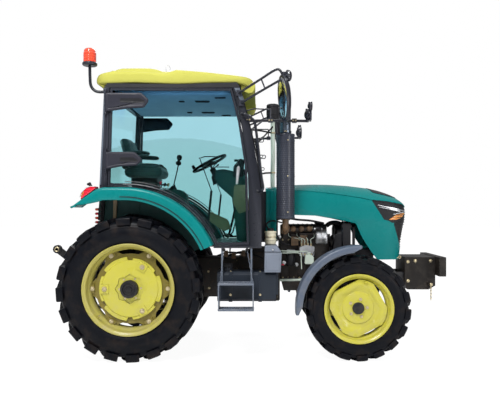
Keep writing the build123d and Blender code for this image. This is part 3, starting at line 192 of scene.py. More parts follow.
# ---- Materials --------------------------------------------------------------------------------
class Graph:
    """A short way to write a material's nodes."""

    def __init__(self, name):
        self.material = bpy.data.materials.new(name)
        self.material.use_nodes = True
        self.tree = self.material.node_tree
        self.shader = self.tree.nodes["Principled BSDF"]
        self.place = self.tree.nodes.new("ShaderNodeTexCoord").outputs["Object"]

    def node(self, kind, settings=None, **inputs):
        made = self.tree.nodes.new("ShaderNode" + kind)
        for key, value in (settings or {}).items():
            setattr(made, key, value)
        for key, value in inputs.items():
            socket = made.inputs[int(key[1:])] if key[0] == "i" and key[1:].isdigit() else made.inputs[key]
            if isinstance(value, bpy.types.NodeSocket):
                self.tree.links.new(value, socket)
            else:
                socket.default_value = value
        return made.outputs[0]

    def noise(self, size, detail=3.0, stretch=(1, 1, 1)):
        """Cloudy grey values whose blotches are about size metres across."""
        spot = self.node("Mapping", i0=self.place, Scale=stretch)
        return self.node("TexNoise", Vector=spot, Scale=1 / size, Detail=detail, Roughness=0.55)

    def remap(self, value, low, high, new_low=0.0, new_high=1.0):
        return self.node("MapRange", i0=value, i1=low, i2=high, i3=new_low, i4=new_high)

    def blend(self, factor, first, second):
        """Mixes two colours; each is a socket or a triple."""
        made = self.tree.nodes.new("ShaderNodeMix")
        made.data_type = "RGBA"
        for index, value in ((0, factor), (6, first), (7, second)):
            if isinstance(value, bpy.types.NodeSocket):
                self.tree.links.new(value, made.inputs[index])
            else:
                made.inputs[index].default_value = value if index == 0 else (*value[:3], 1)
        return made.outputs[2]

    def link(self, value, name):
        self.tree.links.new(value, self.shader.inputs[name])

    def set(self, **numbers):
        for name, value in numbers.items():
            self.shader.inputs[name.replace("_", " ").title().replace("Ior", "IOR")].default_value = value

    def bump(self, height, distance, strength=1.0):
        self.link(self.node("Bump", Strength=strength, Distance=distance, Height=height), "Normal")

    def corners(self, low=0.515, high=0.6):
        """1 on sharp convex edges, 0 on flats."""
        return self.remap(self.tree.nodes.new("ShaderNodeNewGeometry").outputs["Pointiness"], low, high)


def tinted(colour, factor):
    return tuple(min(1.0, c * factor) for c in colour[:3])


DUST = (0.33, 0.27, 0.19)


def paint(name, colour, roughness=0.3, coat=0.5, dust=0.25, peel=0.0004, edge_wear_and_highlight=None, shine=0.25):
    """Sprayed paint: orange peel, small colour drift, dust that settles low down, and lighter convex edges, partly wear
    and partly a painted highlight.
    """
    g = Graph(name)
    drift = g.noise(0.35)
    shade = g.blend(drift, tinted(colour, 0.90), tinted(colour, 1.10))
    # sharp convex edges turn lighter: edge wear together with a painted highlight
    if edge_wear_and_highlight:
        shade = g.blend(g.node("Math", {"operation": "MULTIPLY"}, i0=g.corners(), i1=0.6), shade, edge_wear_and_highlight)
    height = g.node("SeparateXYZ", i0=g.place)
    tree_z = height.node.outputs["Z"]
    low_down = g.remap(tree_z, 1.1, 0.25)
    blotch = g.remap(g.noise(0.06, 5), 0.42, 0.75)
    cover = g.node("Math", {"operation": "MULTIPLY"}, i0=low_down, i1=blotch)
    cover = g.node("Math", {"operation": "MULTIPLY"}, i0=cover, i1=dust)
    g.link(g.blend(cover, shade, DUST), "Base Color")
    g.link(g.remap(g.noise(0.12, 4), 0.3, 0.8, roughness * 0.8, roughness * 1.25), "Roughness")
    g.set(coat_weight=coat * 0.5, coat_roughness=0.12, specular_ior_level=shine)
    g.bump(g.noise(0.012, 1), peel, 0.35)
    return g.material


def plastic(name, colour, roughness=0.5, grain=0.0015, depth=0.0003, drift=0.12, shine=0.25):
    """Moulded plastic or rubber with a fine leather-like grain."""
    g = Graph(name)
    g.link(g.blend(g.noise(0.15), tinted(colour, 1 - drift), tinted(colour, 1 + drift)), "Base Color")
    g.link(g.remap(g.noise(0.05, 4), 0.3, 0.75, roughness * 0.85, roughness * 1.2), "Roughness")
    g.set(specular_ior_level=shine)
    cells = g.node("TexVoronoi", Vector=g.place, Scale=1 / grain)
    g.bump(cells, depth, 0.5)
    return g.material


def metal(name, colour, roughness=0.35, dirt=(0.08, 0.06, 0.05), dirty=0.35, grain=0.003):
    """Bare or plated metal with cast or brushed grain and grime in blotches."""
    g = Graph(name)
    grime = g.remap(g.noise(0.04, 6), 0.45, 0.75, 0.0, dirty)
    g.link(g.blend(grime, colour, dirt), "Base Color")
    g.set(metallic=1.0)
    g.link(g.remap(g.noise(0.02, 5), 0.3, 0.8, roughness * 0.8, roughness * 1.5), "Roughness")
    g.bump(g.noise(grain, 3), 0.0004, 0.4)
    return g.material


def iron(name, colour, rust=(0.16, 0.075, 0.035), rusty=0.3, roughness=0.6):
    """Cast iron under thin paint: rough grain, oily dark blotches, a little rust."""
    g = Graph(name)
    oil = g.remap(g.noise(0.09, 5), 0.35, 0.7)
    shade = g.blend(oil, tinted(colour, 0.55), tinted(colour, 1.25))
    spots = g.remap(g.noise(0.03, 7), 0.55, 0.72, 0.0, rusty)
    g.link(g.blend(spots, shade, rust), "Base Color")
    g.link(g.remap(oil, 0, 1, roughness * 0.7, roughness * 1.15), "Roughness")
    g.set(metallic=0.25)
    g.bump(g.noise(0.004, 4), 0.0012, 0.5)
    return g.material


def lens(name, colour, pitch=0.012):
    """Moulded lamp lens with a fluted inner face."""
    g = Graph(name)
    flutes = g.node("TexWave", {"wave_type": "BANDS", "bands_direction": "Z"}, Vector=g.place, Scale=1 / pitch / 6.28)
    g.link(g.blend(flutes, tinted(colour, 0.75), tinted(colour, 1.2)), "Base Color")
    g.link(g.remap(g.noise(0.02), 0.3, 0.8, 0.08, 0.22), "Roughness")
    g.set(coat_weight=0.8, subsurface_weight=0.15)
    g.bump(flutes, 0.001, 0.5)
    return g.material


def glass(name, colour, roughness=0.0):
    """Tinted safety glass with a faint haze of dust; its light cyan tint is partly a painted sky reflection, and the
    right panes carry a painted reflection: a darker land below a hilly line and a bluer sky band at the top.
    """
    g = Graph(name)
    # the pane tint with a small drift; its light cyan is partly a painted reflection of the sky
    tint_and_painted_sky = g.blend(g.noise(0.5), tinted(colour, 0.96), tinted(colour, 1.04))
    split = g.node("SeparateXYZ", i0=g.place).node
    # painted reflection of hills on the right panes: a wavy line along X, with a darker land colour below it
    swell = g.node("Math", {"operation": "SINE"}, i0=g.remap(split.outputs["X"], -1.62, 0.30, 0.25, 3.0))
    line = g.remap(g.noise(0.03, 2), 0.0, 1.0, -0.012, 0.012)
    crest = g.node("Math", {"operation": "MULTIPLY_ADD"}, i0=swell, i1=0.26, i2=1.86)
    crest = g.node("Math", {"operation": "ADD"}, i0=crest, i1=line)
    depth = g.node("Math", {"operation": "SUBTRACT"}, i0=crest, i1=split.outputs["Z"])
    below = g.remap(depth, 0.0, 0.012)
    near = g.remap(split.outputs["Y"], 0.1, -0.1)
    painted_land_mask = g.node("Math", {"operation": "MULTIPLY"}, i0=below, i1=near)
    # the painted reflected land colour, greener further below the hill line
    shade = g.blend(g.remap(depth, 0.0, 0.75), (0.48, 0.68, 0.70), (0.40, 0.66, 0.64))
    # painted reflection of the sky: a bluer band along the top of the right panes
    painted_sky_band_mask = g.node("Math", {"operation": "MULTIPLY"}, i0=g.remap(split.outputs["Z"], 2.30, 2.56), i1=near)
    tint_and_painted_sky = g.blend(painted_sky_band_mask, tint_and_painted_sky, (0.50, 0.72, 0.88))
    g.link(g.blend(painted_land_mask, tint_and_painted_sky, shade), "Base Color")
    g.link(g.remap(g.noise(0.1, 5), 0.5, 0.8, roughness, roughness + 0.03), "Roughness")
    g.set(transmission_weight=1.0, ior=1.05)
    return g.material


def rubber(name):
    """Tyre rubber: dull bluish black, dust in the low grain, a brown bloom on the sidewall."""
    g = Graph(name)
    colour = (0.0025, 0.003, 0.005)
    shade = g.blend(g.noise(0.2), tinted(colour, 0.7), tinted(colour, 1.4))
    bloom = g.remap(g.noise(0.11, 6, (1, 3, 1)), 0.5, 0.8, 0.0, 0.30)
    g.link(g.blend(bloom, shade, (0.05, 0.032, 0.02)), "Base Color")
    g.link(g.remap(g.noise(0.08, 4), 0.3, 0.8, 0.34, 0.58), "Roughness")
    g.set(specular_ior_level=0.12)
    g.bump(g.noise(0.003, 4), 0.0006, 0.5)
    return g.material


def fabric(name, colour, thread=0.0022):
    """Woven seat cloth: crossed threads with a soft sheen."""
    g = Graph(name)
    weave = []
    for direction in ("DIAGONAL", "Y"):
        weave.append(g.node("TexWave", {"bands_direction": direction}, Vector=g.place, Scale=1 / thread / 6.28,
                            Distortion=1.0))
    cross = g.node("Math", {"operation": "MULTIPLY"}, i0=weave[0], i1=weave[1])
    g.link(g.blend(cross, tinted(colour, 0.7), tinted(colour, 1.5)), "Base Color")
    g.set(roughness=0.85, sheen_weight=0.4)
    g.bump(cross, 0.0006, 0.8)
    return g.material


TEAL = (0.001, 0.155, 0.152)
FINISH = {
    "teal_paint": paint("teal_paint", TEAL, 0.30, 0.10, 0.05, shine=0.15),
    "roof_yellow": plastic("roof_yellow", (0.385, 0.375, 0.078), 0.5, 0.004, 0.0002, 0.05, 0.01),
    "wheel_yellow": paint("wheel_yellow", (0.43, 0.395, 0.045), 0.30, 0.4, 0.35),
    "rim_yellow": paint("rim_yellow", (0.33, 0.295, 0.065), 0.40, 0.25, 0.45),
    # the lighter edge colours given below are partly wear and partly a painted highlight on the edges
    "black_paint": paint("black_paint", (0.005, 0.005, 0.006), 0.40, 0.1, 0.1, edge_wear_and_highlight=(0.02, 0.02, 0.023)),
    "slate_paint": paint("slate_paint", (0.045, 0.062, 0.090), 0.42, 0.2, 0.3, edge_wear_and_highlight=(0.12, 0.14, 0.17)),
    "iron": iron("iron", (0.020, 0.0155, 0.013), (0.11, 0.05, 0.022)),
    "manifold": iron("manifold", (0.15, 0.092, 0.05), (0.26, 0.12, 0.04), 0.6),
    "silver": metal("silver", (0.62, 0.63, 0.65)),
    "chrome": metal("chrome", (0.75, 0.76, 0.78), 0.12, dirty=0.1),
    "zinc": metal("zinc", (0.55, 0.47, 0.30), 0.35),
    "tyre": rubber("tyre"),
    # light cyan tint, partly a painted sky reflection; the glass finish also paints reflected land and sky on the right
    # panes
    "glass": glass("glass", (0.60, 0.82, 0.87)),
    "mirror_glass": metal("mirror_glass", (0.8, 0.82, 0.84), 0.04, dirty=0.02),
    "black_plastic": plastic("black_plastic", (0.009, 0.009, 0.011)),
    "frame_black": paint("frame_black", (0.007, 0.008, 0.012), 0.32, 0.15, 0.1, edge_wear_and_highlight=(0.035, 0.037, 0.050)),
    "cover_slate": plastic("cover_slate", (0.020, 0.020, 0.029), 0.40, 0.002),
    "tank_slate": plastic("tank_slate", (0.012, 0.017, 0.026), 0.45, 0.003),
    "step_slate": paint("step_slate", (0.065, 0.085, 0.125), 0.42, 0.2, 0.3, edge_wear_and_highlight=(0.12, 0.14, 0.17)),
    "bracket_brown": paint("bracket_brown", (0.009, 0.007, 0.006), 0.46, 0.0, 0.1, edge_wear_and_highlight=(0.02, 0.018, 0.016)),
    # the wheel yellow darkened: painted shade on the rear disc's recessed plate, its cheeks and the star's recess
    "painted_shade_yellow": paint("painted_shade_yellow", (0.17, 0.135, 0.02), 0.40, 0.1, 0.3),
    "guard_slate": paint("guard_slate", (0.030, 0.034, 0.048), 0.36, 0.25, 0.1),
    "pipe_steel": metal("pipe_steel", (0.10, 0.12, 0.15), 0.28),
    "pale_pipe": plastic("pale_pipe", (0.52, 0.60, 0.52), 0.32, 0.004),
    "lamp_glass": lens("lamp_glass", (0.55, 0.60, 0.64)),
    "liner_blue": plastic("liner_blue", (0.24, 0.36, 0.47), 0.7, 0.003),
    # dark green of the dash; also used as painted shade for the teal inner fender walls of the wheel house
    "dash_green_and_shaded_teal": plastic("dash_green_and_shaded_teal", (0.012, 0.045, 0.042), 0.55, 0.002),
    "tan_plastic": plastic("tan_plastic", (0.20, 0.15, 0.09), 0.5, 0.002),
    "grey_plastic": plastic("grey_plastic", (0.14, 0.16, 0.20)),
    "cream_plastic": plastic("cream_plastic", (0.62, 0.58, 0.44), 0.4),
    "seat_fabric": fabric("seat_fabric", (0.018, 0.045, 0.040)),
    "red_lens": lens("red_lens", (0.62, 0.01, 0.03)),
    "orange_lens": lens("orange_lens", (0.66, 0.055, 0.02)),
    "amber_lens": lens("amber_lens", (0.55, 0.20, 0.04)),
}

NODE_FINISH = {
    "teal_paint": ("hood", "cowl", "rear_fenders"),
    "roof_yellow": ("cab_roof",),
    "wheel_yellow": ("rear_wheel_right", "rear_wheel_left", "front_wheel_right", "front_wheel_left"),
    "black_paint": ("cab_frame", "door_frame_right", "door_frame_left", "beacon", "handrails", "mirrors",
                    "work_lamps", "front_frame", "front_bracket", "drawbar", "cab_tub", "lower_links", "lift_rods",
                    "rockshaft", "top_link"),
    "slate_paint": ("front_fender_right", "front_fender_left", "steps", "exhaust"),
    "iron": ("engine", "transmission", "rear_axle", "front_axle", "knuckle_right", "knuckle_left", "radiator"),
    "silver": ("alternator",),
    "tyre": ("rear_tyre_right", "rear_tyre_left", "front_tyre_right", "front_tyre_left"),
    "glass": ("windshield", "rear_window", "door_glass_right", "door_glass_left"),
    "black_plastic": ("grille", "dashboard", "levers", "steering_wheel", "air_intake", "fuel_tank"),
    "grey_plastic": ("battery_box",),
    "cream_plastic": ("expansion_tank",),
    "seat_fabric": ("seat",),
    "red_lens": ("tail_lamps",),
}


def dress_nodes():
    for finish, names in NODE_FINISH.items():
        for name in names:
            nodes[name].data.materials.clear()
            nodes[name].data.materials.append(FINISH[finish])


# ---- Mesh helpers -----------------------------------------------------------------------------
class Piece:
    """One visible piece while its mesh is being made, in the frame's metres."""

    def __init__(self, name, body, *finishes):
        self.name, self.body, self.finishes = name, body, finishes
        self.bm = bmesh.new()
        self.use = 0

    def face(self, points):
        try:
            made = self.bm.faces.new(points)
        except ValueError:
            return
        made.material_index = self.use
        made.smooth = True

    def loft(self, rings, closed=True, caps=True):
        """Skins rings of points, one after another."""
        rows = [[self.bm.verts.new(p) for p in ring] for ring in rings]
        count = len(rows[0])
        for low, high in zip(rows, rows[1:]):
            for i in range(count if closed else count - 1):
                j = (i + 1) % count
                self.face((low[i], low[j], high[j], high[i]))
        if caps and closed:
            self.face(rows[0][::-1])
            self.face(rows[-1])
        return rows

    def prism(self, outline, low, high, axis="y"):
        """A plate from a side (x, z), front (y, z) or top (x, y) outline between two places."""
        def spot(a, b, c):
            return {"y": at(a, c, b), "x": at(c, a, b), "z": at(a, b, c)}[axis]
        self.loft([[spot(a, b, c) for a, b in outline] for c in (low, high)])

    def box(self, x, y, z):
        self.prism(((x[0], z[0]), (x[1], z[0]), (x[1], z[1]), (x[0], z[1])), *sorted(y))

    def lathe(self, origin, axis, profile, segments=32, caps=True, start=0.0):
        """Turns (distance along the axis, radius) stations, in mm, about an axis from a point in mm."""
        base = at(*origin)
        along = Vector(axis).normalized()
        side = along.orthogonal().normalized()
        up = along.cross(side)
        rings = []
        for distance, radius in profile:
            centre = base + along * distance * MM
            rings.append([
                centre + (side * cos(start + tau * i / segments) + up * sin(start + tau * i / segments)) * radius * MM
                for i in range(segments)
            ])
        return self.loft(rings, caps=caps)

    def rod(self, start, end, radius, segments=16, chamfer=None):
        """A round bar with softened ends between two points in mm."""
        axis = Vector(end) - Vector(start)
        length = axis.length
        soft = min(radius * 0.2, length * 0.3) if chamfer is None else chamfer
        stations = ((0, radius - soft), (soft, radius), (length - soft, radius), (length, radius - soft))
        self.lathe(start, axis, stations, segments)

    def pipe(self, points, radius, segments=10, caps=True):
        """A round tube through points in mm; the points are close together where it bends."""
        path = [at(*p) for p in points]
        rings = []
        side = None
        for i, here in enumerate(path):
            ahead = (path[min(i + 1, len(path) - 1)] - path[max(i - 1, 0)]).normalized()
            side = ahead.orthogonal() if side is None else side - ahead * side.dot(ahead)
            side.normalize()
            up = ahead.cross(side)
            rings.append([
                here + (side * cos(tau * k / segments) + up * sin(tau * k / segments)) * radius * MM
                for k in range(segments)
            ])
        self.loft(rings, caps=caps)

    def hexagon(self, place, axis, radius, height):
        """A bolt head on a washer."""
        self.lathe(place, axis, ((0, radius * 1.45), (height * 0.25, radius * 1.4)), 14)
        self.lathe(place, axis, ((height * 0.2, radius), (height * 0.85, radius), (height, radius * 0.8)), 6)

    def mirror(self):
        """Adds the mirror image about the tractor's middle."""
        copy = bmesh.ops.duplicate(self.bm, geom=self.bm.verts[:] + self.bm.edges[:] + self.bm.faces[:])
        made = [v for v in copy["geom"] if isinstance(v, bmesh.types.BMVert)]
        for v in made:
            v.co.y = -v.co.y
        bmesh.ops.reverse_faces(self.bm, faces=[f for f in copy["geom"] if isinstance(f, bmesh.types.BMFace)])

    def soften(self, width, segments=2, angle=32):
        """Rounds the sharp edges."""
        edges = [e for e in self.bm.edges if len(e.link_faces) == 2 and e.calc_face_angle(0) > radians(angle)]
        bmesh.ops.bevel(self.bm, geom=edges, offset=width * MM, segments=segments, affect="EDGES",
                        profile=0.6, clamp_overlap=True, material=-1)

    def done(self, slot=None, replaces=(), weld=0.02, sharp=38, subdivide=0, thick=0, outward=None):
        """Makes the object, lets it ride on its body and returns it."""
        bmesh.ops.remove_doubles(self.bm, verts=self.bm.verts, dist=weld * MM)
        bmesh.ops.recalc_face_normals(self.bm, faces=self.bm.faces)
        if outward:
            side = max(self.bm.faces, key=lambda f: f.calc_center_median().dot(Vector(outward)))
            if side.normal.dot(Vector(outward)) < 0:
                bmesh.ops.reverse_faces(self.bm, faces=self.bm.faces)
        mesh = bpy.data.meshes.new(self.name)
        self.bm.to_mesh(mesh)
        self.bm.free()
        piece = bpy.data.objects.new(self.name, mesh)
        bpy.context.scene.collection.objects.link(piece)
        for finish in self.finishes:
            mesh.materials.append(FINISH[finish])
        if thick:
            wall = piece.modifiers.new("wall", "SOLIDIFY")
            wall.thickness = thick * MM
            wall.offset = -1
            wall.use_quality_normals = True
        if subdivide:
            surface = piece.modifiers.new("surface", "SUBSURF")
            surface.levels = surface.render_levels = subdivide
        if thick or subdivide:
            shape = bpy.data.meshes.new_from_object(piece.evaluated_get(bpy.context.evaluated_depsgraph_get()))
            piece.modifiers.clear()
            piece.data = shape
        piece.data.set_sharp_from_angle(angle=radians(sharp))
        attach(piece, self.body)
        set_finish(piece, slot or self.finishes[0])
        if replaces:
            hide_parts(*replaces)
        return piece


def mirrored(piece, name, body, replaces=()):
    """The left-hand twin of a right-hand piece."""
    mesh = piece.data.copy()
    mesh.transform(Matrix.Diagonal((1, -1, 1, 1)))
    mesh.flip_normals()
    twin = bpy.data.objects.new(name, mesh)
    bpy.context.scene.collection.objects.link(twin)
    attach(twin, body)
    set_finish(twin, piece["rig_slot"])
    if replaces:
        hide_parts(*replaces)
    return twin


def pair(piece, name, body, nodes_replaced=()):
    """Names a right-hand piece's twin and what each of the two replaces."""
    if nodes_replaced:
        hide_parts(*(f"{n}_right" for n in nodes_replaced))
    mirrored(piece, f"{name}_left", f"{body}_left", tuple(f"{n}_left" for n in nodes_replaced))


def smooth_line(points, steps=5):
    """A rounded line through points, by Catmull-Rom."""
    pts = [Vector(p) for p in points]
    line = []
    for i in range(len(pts) - 1):
        a, b = pts[max(i - 1, 0)], pts[i]
        c, d = pts[i + 1], pts[min(i + 2, len(pts) - 1)]
        for k in range(steps):
            t = k / steps
            line.append(0.5 * (2 * b + (c - a) * t + (2 * a - 5 * b + 4 * c - d) * t * t
                               + (3 * b - 3 * c + d - a) * t ** 3))
    line.append(pts[-1])
    return line


def rounded(corners, radius, steps=4):
    """A closed outline with its corners rounded, in mm."""
    line = []
    count = len(corners)
    for i in range(count):
        here = Vector(corners[i])
        back = Vector(corners[i - 1]) - here
        ahead = Vector(corners[(i + 1) % count]) - here
        reach = min(radius, back.length * 0.45, ahead.length * 0.45)
        start, end = here + back.normalized() * reach, here + ahead.normalized() * reach
        for k in range(steps + 1):
            t = k / steps
            line.append(start * (1 - t) ** 2 + here * 2 * t * (1 - t) + end * t * t)
    return line


# ---- Tyres ------------------------------------------------------------------------------------
def wheel_size(name):
    """Centre ahead, centre up, centre out, radius and half width of a right-hand wheel or tyre, in mm."""
    low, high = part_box(name)
    middle = (low + high) / 2
    return ((middle.x - AXLE_X) / MM, middle.z / MM, middle.y / MM, (high.z - low.z) / 2 / MM,
            (high.y - low.y) / 2 / MM)


def make_tyre(axle, lugs, lug_height, block_half, block_height, lean):
    name = f"{axle}_tyre_right"
    ahead, up, out, radius, half = wheel_size(name)
    up = radius
    tread = radius - lug_height
    rim_radius = RIM[axle]["seat"]
    wall = tread - rim_radius
    tyre = Piece(name, f"{axle}_wheel_right", "tyre")

    def spot(outboard, angle, r):
        return at(ahead + r * cos(angle), out - outboard, up + r * sin(angle))

    # outboard share of the half width, share of the wall's height, from the bead up
    shares = ((0.60, -0.04), (0.76, 0.02), (0.80, 0.08), (0.90, 0.20), (0.965, 0.36), (0.97, 0.50), (0.93, 0.66),
              (0.88, 0.78), (0.83, 0.87), (0.70, 0.945), (0.40, 0.985), (0.0, 1.0))
    line = smooth_line([(w * half, rim_radius + s * wall, 0) for w, s in shares], 3)
    profile = [(p.x, p.y) for p in line]
    ring_at = profile.index(min(profile, key=lambda p: abs(p[1] - rim_radius - 0.74 * wall)))
    profile[ring_at] = (profile[ring_at][0] + 2.5, profile[ring_at][1])
    profile += [(-w, r) for w, r in profile[-2::-1]]
    segments = 144
    rings = [[spot(w, tau * i / segments, r) for i in range(segments)] for w, r in profile]
    tyre.loft(rings, caps=False)

    # distance out, sideways lean, half width at the top and at the foot, top radius, foot radius
    low = tread - 14
    stations = (
        (-9, lean * 0.62, 15, 22, radius, low),
        (0.25 * half, lean * 0.36, 17, 25, radius, low),
        (0.55 * half, 0.0, 20, 29, radius - 1, low),
        (0.80 * half, -lean * 0.24, 0.62 * block_half, 0.75 * block_half, radius - 3, low - 8),
        (0.94 * half, -lean * 0.34, 0.9 * block_half, block_half, radius - 9, radius - 0.9 * block_height),
        (0.995 * half, -lean * 0.36, 0.94 * block_half, 1.02 * block_half, radius - 20, radius - block_height),
    )
    lug = Piece("lug", "", "tyre")
    rows = []
    for w, shift, top, foot, high, bottom in stations:
        section = ((-foot, bottom), (-top, high), (top, high), (foot, bottom))
        rows.append([Vector((w, shift + a, r)) for a, r in section])
    lug.loft(rows)
    bmesh.ops.recalc_face_normals(lug.bm, faces=lug.bm.faces)
    lug.soften(3.5 / MM, 2, 25)
    lug.bm.verts.index_update()
    for turn in range(2 * lugs):
        mirror = -1 if turn % 2 else 1
        start = tau * turn / (2 * lugs) + pi / 2
        made = [tyre.bm.verts.new(spot(v.co.x * mirror, start - v.co.y / tread, v.co.z)) for v in lug.bm.verts]
        for f in lug.bm.faces:
            tyre.face([made[v.index] for v in f.verts])
    lug.bm.free()
    piece = tyre.done("tyre", sharp=30)
    pair(piece, f"{axle}_tyre", f"{axle}_wheel", (f"{axle}_tyre",))


RIM = {
    "rear": {"seat": 406, "flange": 431, "half": 146},
    "front": {"seat": 305, "flange": 327, "half": 101},
}


# ---- Wheels -----------------------------------------------------------------------------------
def radial(piece, spot, radius_of, low, high, segments=144, core=0.0):
    """A disc with an outline given by radius_of(angle), between two distances out."""
    outline = [tau * i / segments for i in range(segments)]
    rings = []
    for w in (low, high):
        rings.append([spot(w, a, radius_of(a)) for a in outline])
    if core:
        rings = [[spot(low, a, core) for a in outline], *rings, [spot(high, a, core) for a in outline]]
    piece.loft(rings, caps=not core)


def turned(angle, step):
    """How far an angle is from the nearest multiple of step, in radians."""
    return abs((angle + step / 2) % step - step / 2)


def make_rim(piece, spot, axle):
    size = RIM[axle]
    half, flange, seat = size["half"], size["flange"], size["seat"]
    # distance out, radius: the seen face, then back along the tyre's side
    face = ((half, flange), (half + 3, flange - 5), (half, flange - 11), (half - 10, seat - 3), (half - 22, seat - 9),
            (half * 0.55, seat - 14), (half * 0.40, seat - 30), (half * 0.05, seat - 36))
    seen = [*face, *((-w, r) for w, r in face[::-1])]
    back = [(w, r + 7) for w, r in seen[::-1]]
    segments = 128
    loop = smooth_line([(w, r, 0) for w, r in seen], 2) + smooth_line([(w, r, 0) for w, r in back[1:-1]], 1)
    rings = [[spot(p.x, tau * i / segments, p.y) for i in range(segments)] for p in loop]
    rings.append(rings[0])
    piece.loft(rings, caps=False)


def make_rear_wheel():
    ahead, up, out, radius, half = wheel_size("rear_wheel_right")
    out = wheel_size("rear_tyre_right")[2]

    def spot(outboard, angle, r):
        return at(ahead + r * cos(angle), out - outboard, up + r * sin(angle))

    def place(outboard, angle, r):
        return (ahead + r * cos(angle), out - outboard, up + r * sin(angle))

    outward = (0, -1, 0)
    rim = Piece("rear_rim_right", "rear_wheel_right", "rim_yellow", "zinc")
    make_rim(rim, spot, "rear")
    seat = RIM["rear"]["seat"]

    def lobes(angle):
        near = turned(angle, pi / 3)
        lobe = max(0.0, 1 - max(0.0, near - radians(7)) / radians(11))
        return 332 + (seat - 30 - 332) * lobe * lobe * (3 - 2 * lobe)
    disc = Piece("rear_disc_right", "rear_wheel_right", "wheel_yellow", "zinc", "painted_shade_yellow")
    # the recessed back plate and its cheeks in darker yellow: painted shade
    disc.use = 2
    radial(disc, spot, lobes, 22, 38)
    disc.soften(3)
    for k in range(6):
        angle = k * pi / 3
        cheek = [(339, -44), (378, -36), (378, 36), (339, 44)]
        ring = [(r * cos(angle) - s * sin(angle), r * sin(angle) + s * cos(angle)) for r, s in cheek]
        disc.use = 2
        disc.loft([[at(ahead + a, out - w, up + b) for a, b in ring] for w in (30, 56)])
        disc.use = 1
        disc.hexagon(place(56, angle, 357), outward, 15, 16)
    disc.use = 0

    def cast(angle):
        near = turned(angle - pi / 6, pi / 3)
        if near < radians(5.5):
            return 268
        return 303 if int(((angle - pi / 6) % tau) / (pi / 3)) % 2 else 292
    radial(disc, spot, cast, 36, 62, 240)
    disc.lathe((ahead, out - 62, up), outward, ((0, 270), (7, 262), (9, 150)), 96, caps=False)
    for k in range(3):
        angle = k * tau / 3 + pi / 3
        turn = [(r * cos(angle) - s * sin(angle), r * sin(angle) + s * cos(angle))
                for r, s in ((198, -41), (278, -41), (278, 41), (198, 41))]
        disc.loft([[at(ahead + a, out - w, up + b) for a, b in turn] for w in (64, 80)])
        disc.use = 1
        disc.hexagon(place(80, angle, 238), outward, 17, 18)
        disc.use = 0

    def star(angle):
        near = turned(angle, tau / 8)
        return 142 - 22 * min(1.0, near / radians(22.5)) ** 0.8
    segments = 96
    outline = [tau * i / segments for i in range(segments)]
    disc.loft([[spot(71, a, 150) for a in outline], [spot(71, a, star(a)) for a in outline]], caps=False)
    # the star's recess in darker yellow: painted shade
    disc.use = 2
    disc.loft([[spot(71, a, star(a)) for a in outline], [spot(52, a, star(a) - 3) for a in outline],
               [spot(50, a, 60) for a in outline]], caps=False)
    disc.use = 1
    for k in range(6):
        disc.hexagon(place(50, k * pi / 3 + radians(3), 103), outward, 12, 14)
    hub = Piece("rear_hub_right", "rear_wheel_right", "black_paint", "iron")
    hub.lathe((ahead, out + 60, up), outward,
              ((0, 70), (90, 70), (92, 84), (168, 84), (176, 80), (178, 60), (170, 56), (170, 30), (176, 27), (178, 0.5)), 48)
    for k in range(8):
        angle = k * pi / 4
        hub.rod(place(100, angle, 70), place(121, angle, 70), 8, 10)
    rim.use = 1
    rim.pipe([place(w, radians(222), r) for w, r in ((118, 386), (130, 372), (142, 352))], 5)
    pair(rim.done("wheel_yellow"), "rear_rim", "rear_wheel")
    pair(disc.done("wheel_yellow", sharp=30), "rear_disc", "rear_wheel", ("rear_wheel",))
    pair(hub.done("black_paint"), "rear_hub", "rear_wheel")


def make_front_wheel():
    ahead, up, out, radius, half = wheel_size("front_wheel_right")
    out = wheel_size("front_tyre_right")[2]

    def spot(outboard, angle, r):
        return at(ahead + r * cos(angle), out - outboard, up + r * sin(angle))

    def place(outboard, angle, r):
        return (ahead + r * cos(angle), out - outboard, up + r * sin(angle))

    outward = (0, -1, 0)
    wheel = Piece("front_rim_right", "front_wheel_right", "wheel_yellow", "zinc")
    make_rim(wheel, spot, "front")
    edge, flat = 272, 240
    flats = [radians(a) for a in (117, 30, -62, -152)]

    def rim_line(angle):
        cut = [flat / cos(angle - f) for f in flats if cos(angle - f) > 0.5]
        return min([edge, *cut])
    segments = 144
    angles = [tau * i / segments for i in range(segments)]
    # share of the edge radius, distance out
    dish = ((1.0, 22), (0.985, 44), (0.95, 54), (0.86, 60), (0.74, 52), (0.62, 40), (0.565, 37), (0.54, 44), (0.50, 46),
            (0.36, 46), (0.22, 46))
    line = smooth_line([(s, w, 0) for s, w in dish], 3)
    front = [[spot(p.y, a, (rim_line(a) if p.x > 0.9 else edge * (1 - (1 - p.x)) * rim_line(a) / edge
                            if p.x > 0.7 else edge * p.x) if p.x < 1 else rim_line(a)) for a in angles] for p in line]
    back = [[spot(p.y - 9, a, rim_line(a) * min(p.x, 0.99) if p.x > 0.7 else edge * p.x) for a in angles]
            for p in line[::-2]]
    wheel.loft([*front, *back], caps=False)
    wheel.lathe((ahead, out - 36, up), outward, ((0, 66), (12, 66), (14, 60), (14, 52)), 48, caps=False)
    wheel.use = 1
    for k in range(5):
        wheel.hexagon(place(46, radians(75) + k * tau / 5, 86), outward, 11, 13)
    wheel.use = 0
    wheel.rod(place(52, radians(74), 235), place(74, radians(74), 262), 13)
    hub = Piece("front_hub_right", "front_wheel_right", "black_paint")
    hub.lathe((ahead, out + 20, up), outward, ((0, 60), (64, 60), (66, 57), (84, 56), (90, 50), (92, 1)), 40)
    pair(wheel.done("wheel_yellow", sharp=40), "front_rim", "front_wheel", ("front_wheel",))
    pair(hub.done("black_paint"), "front_hub", "front_wheel")


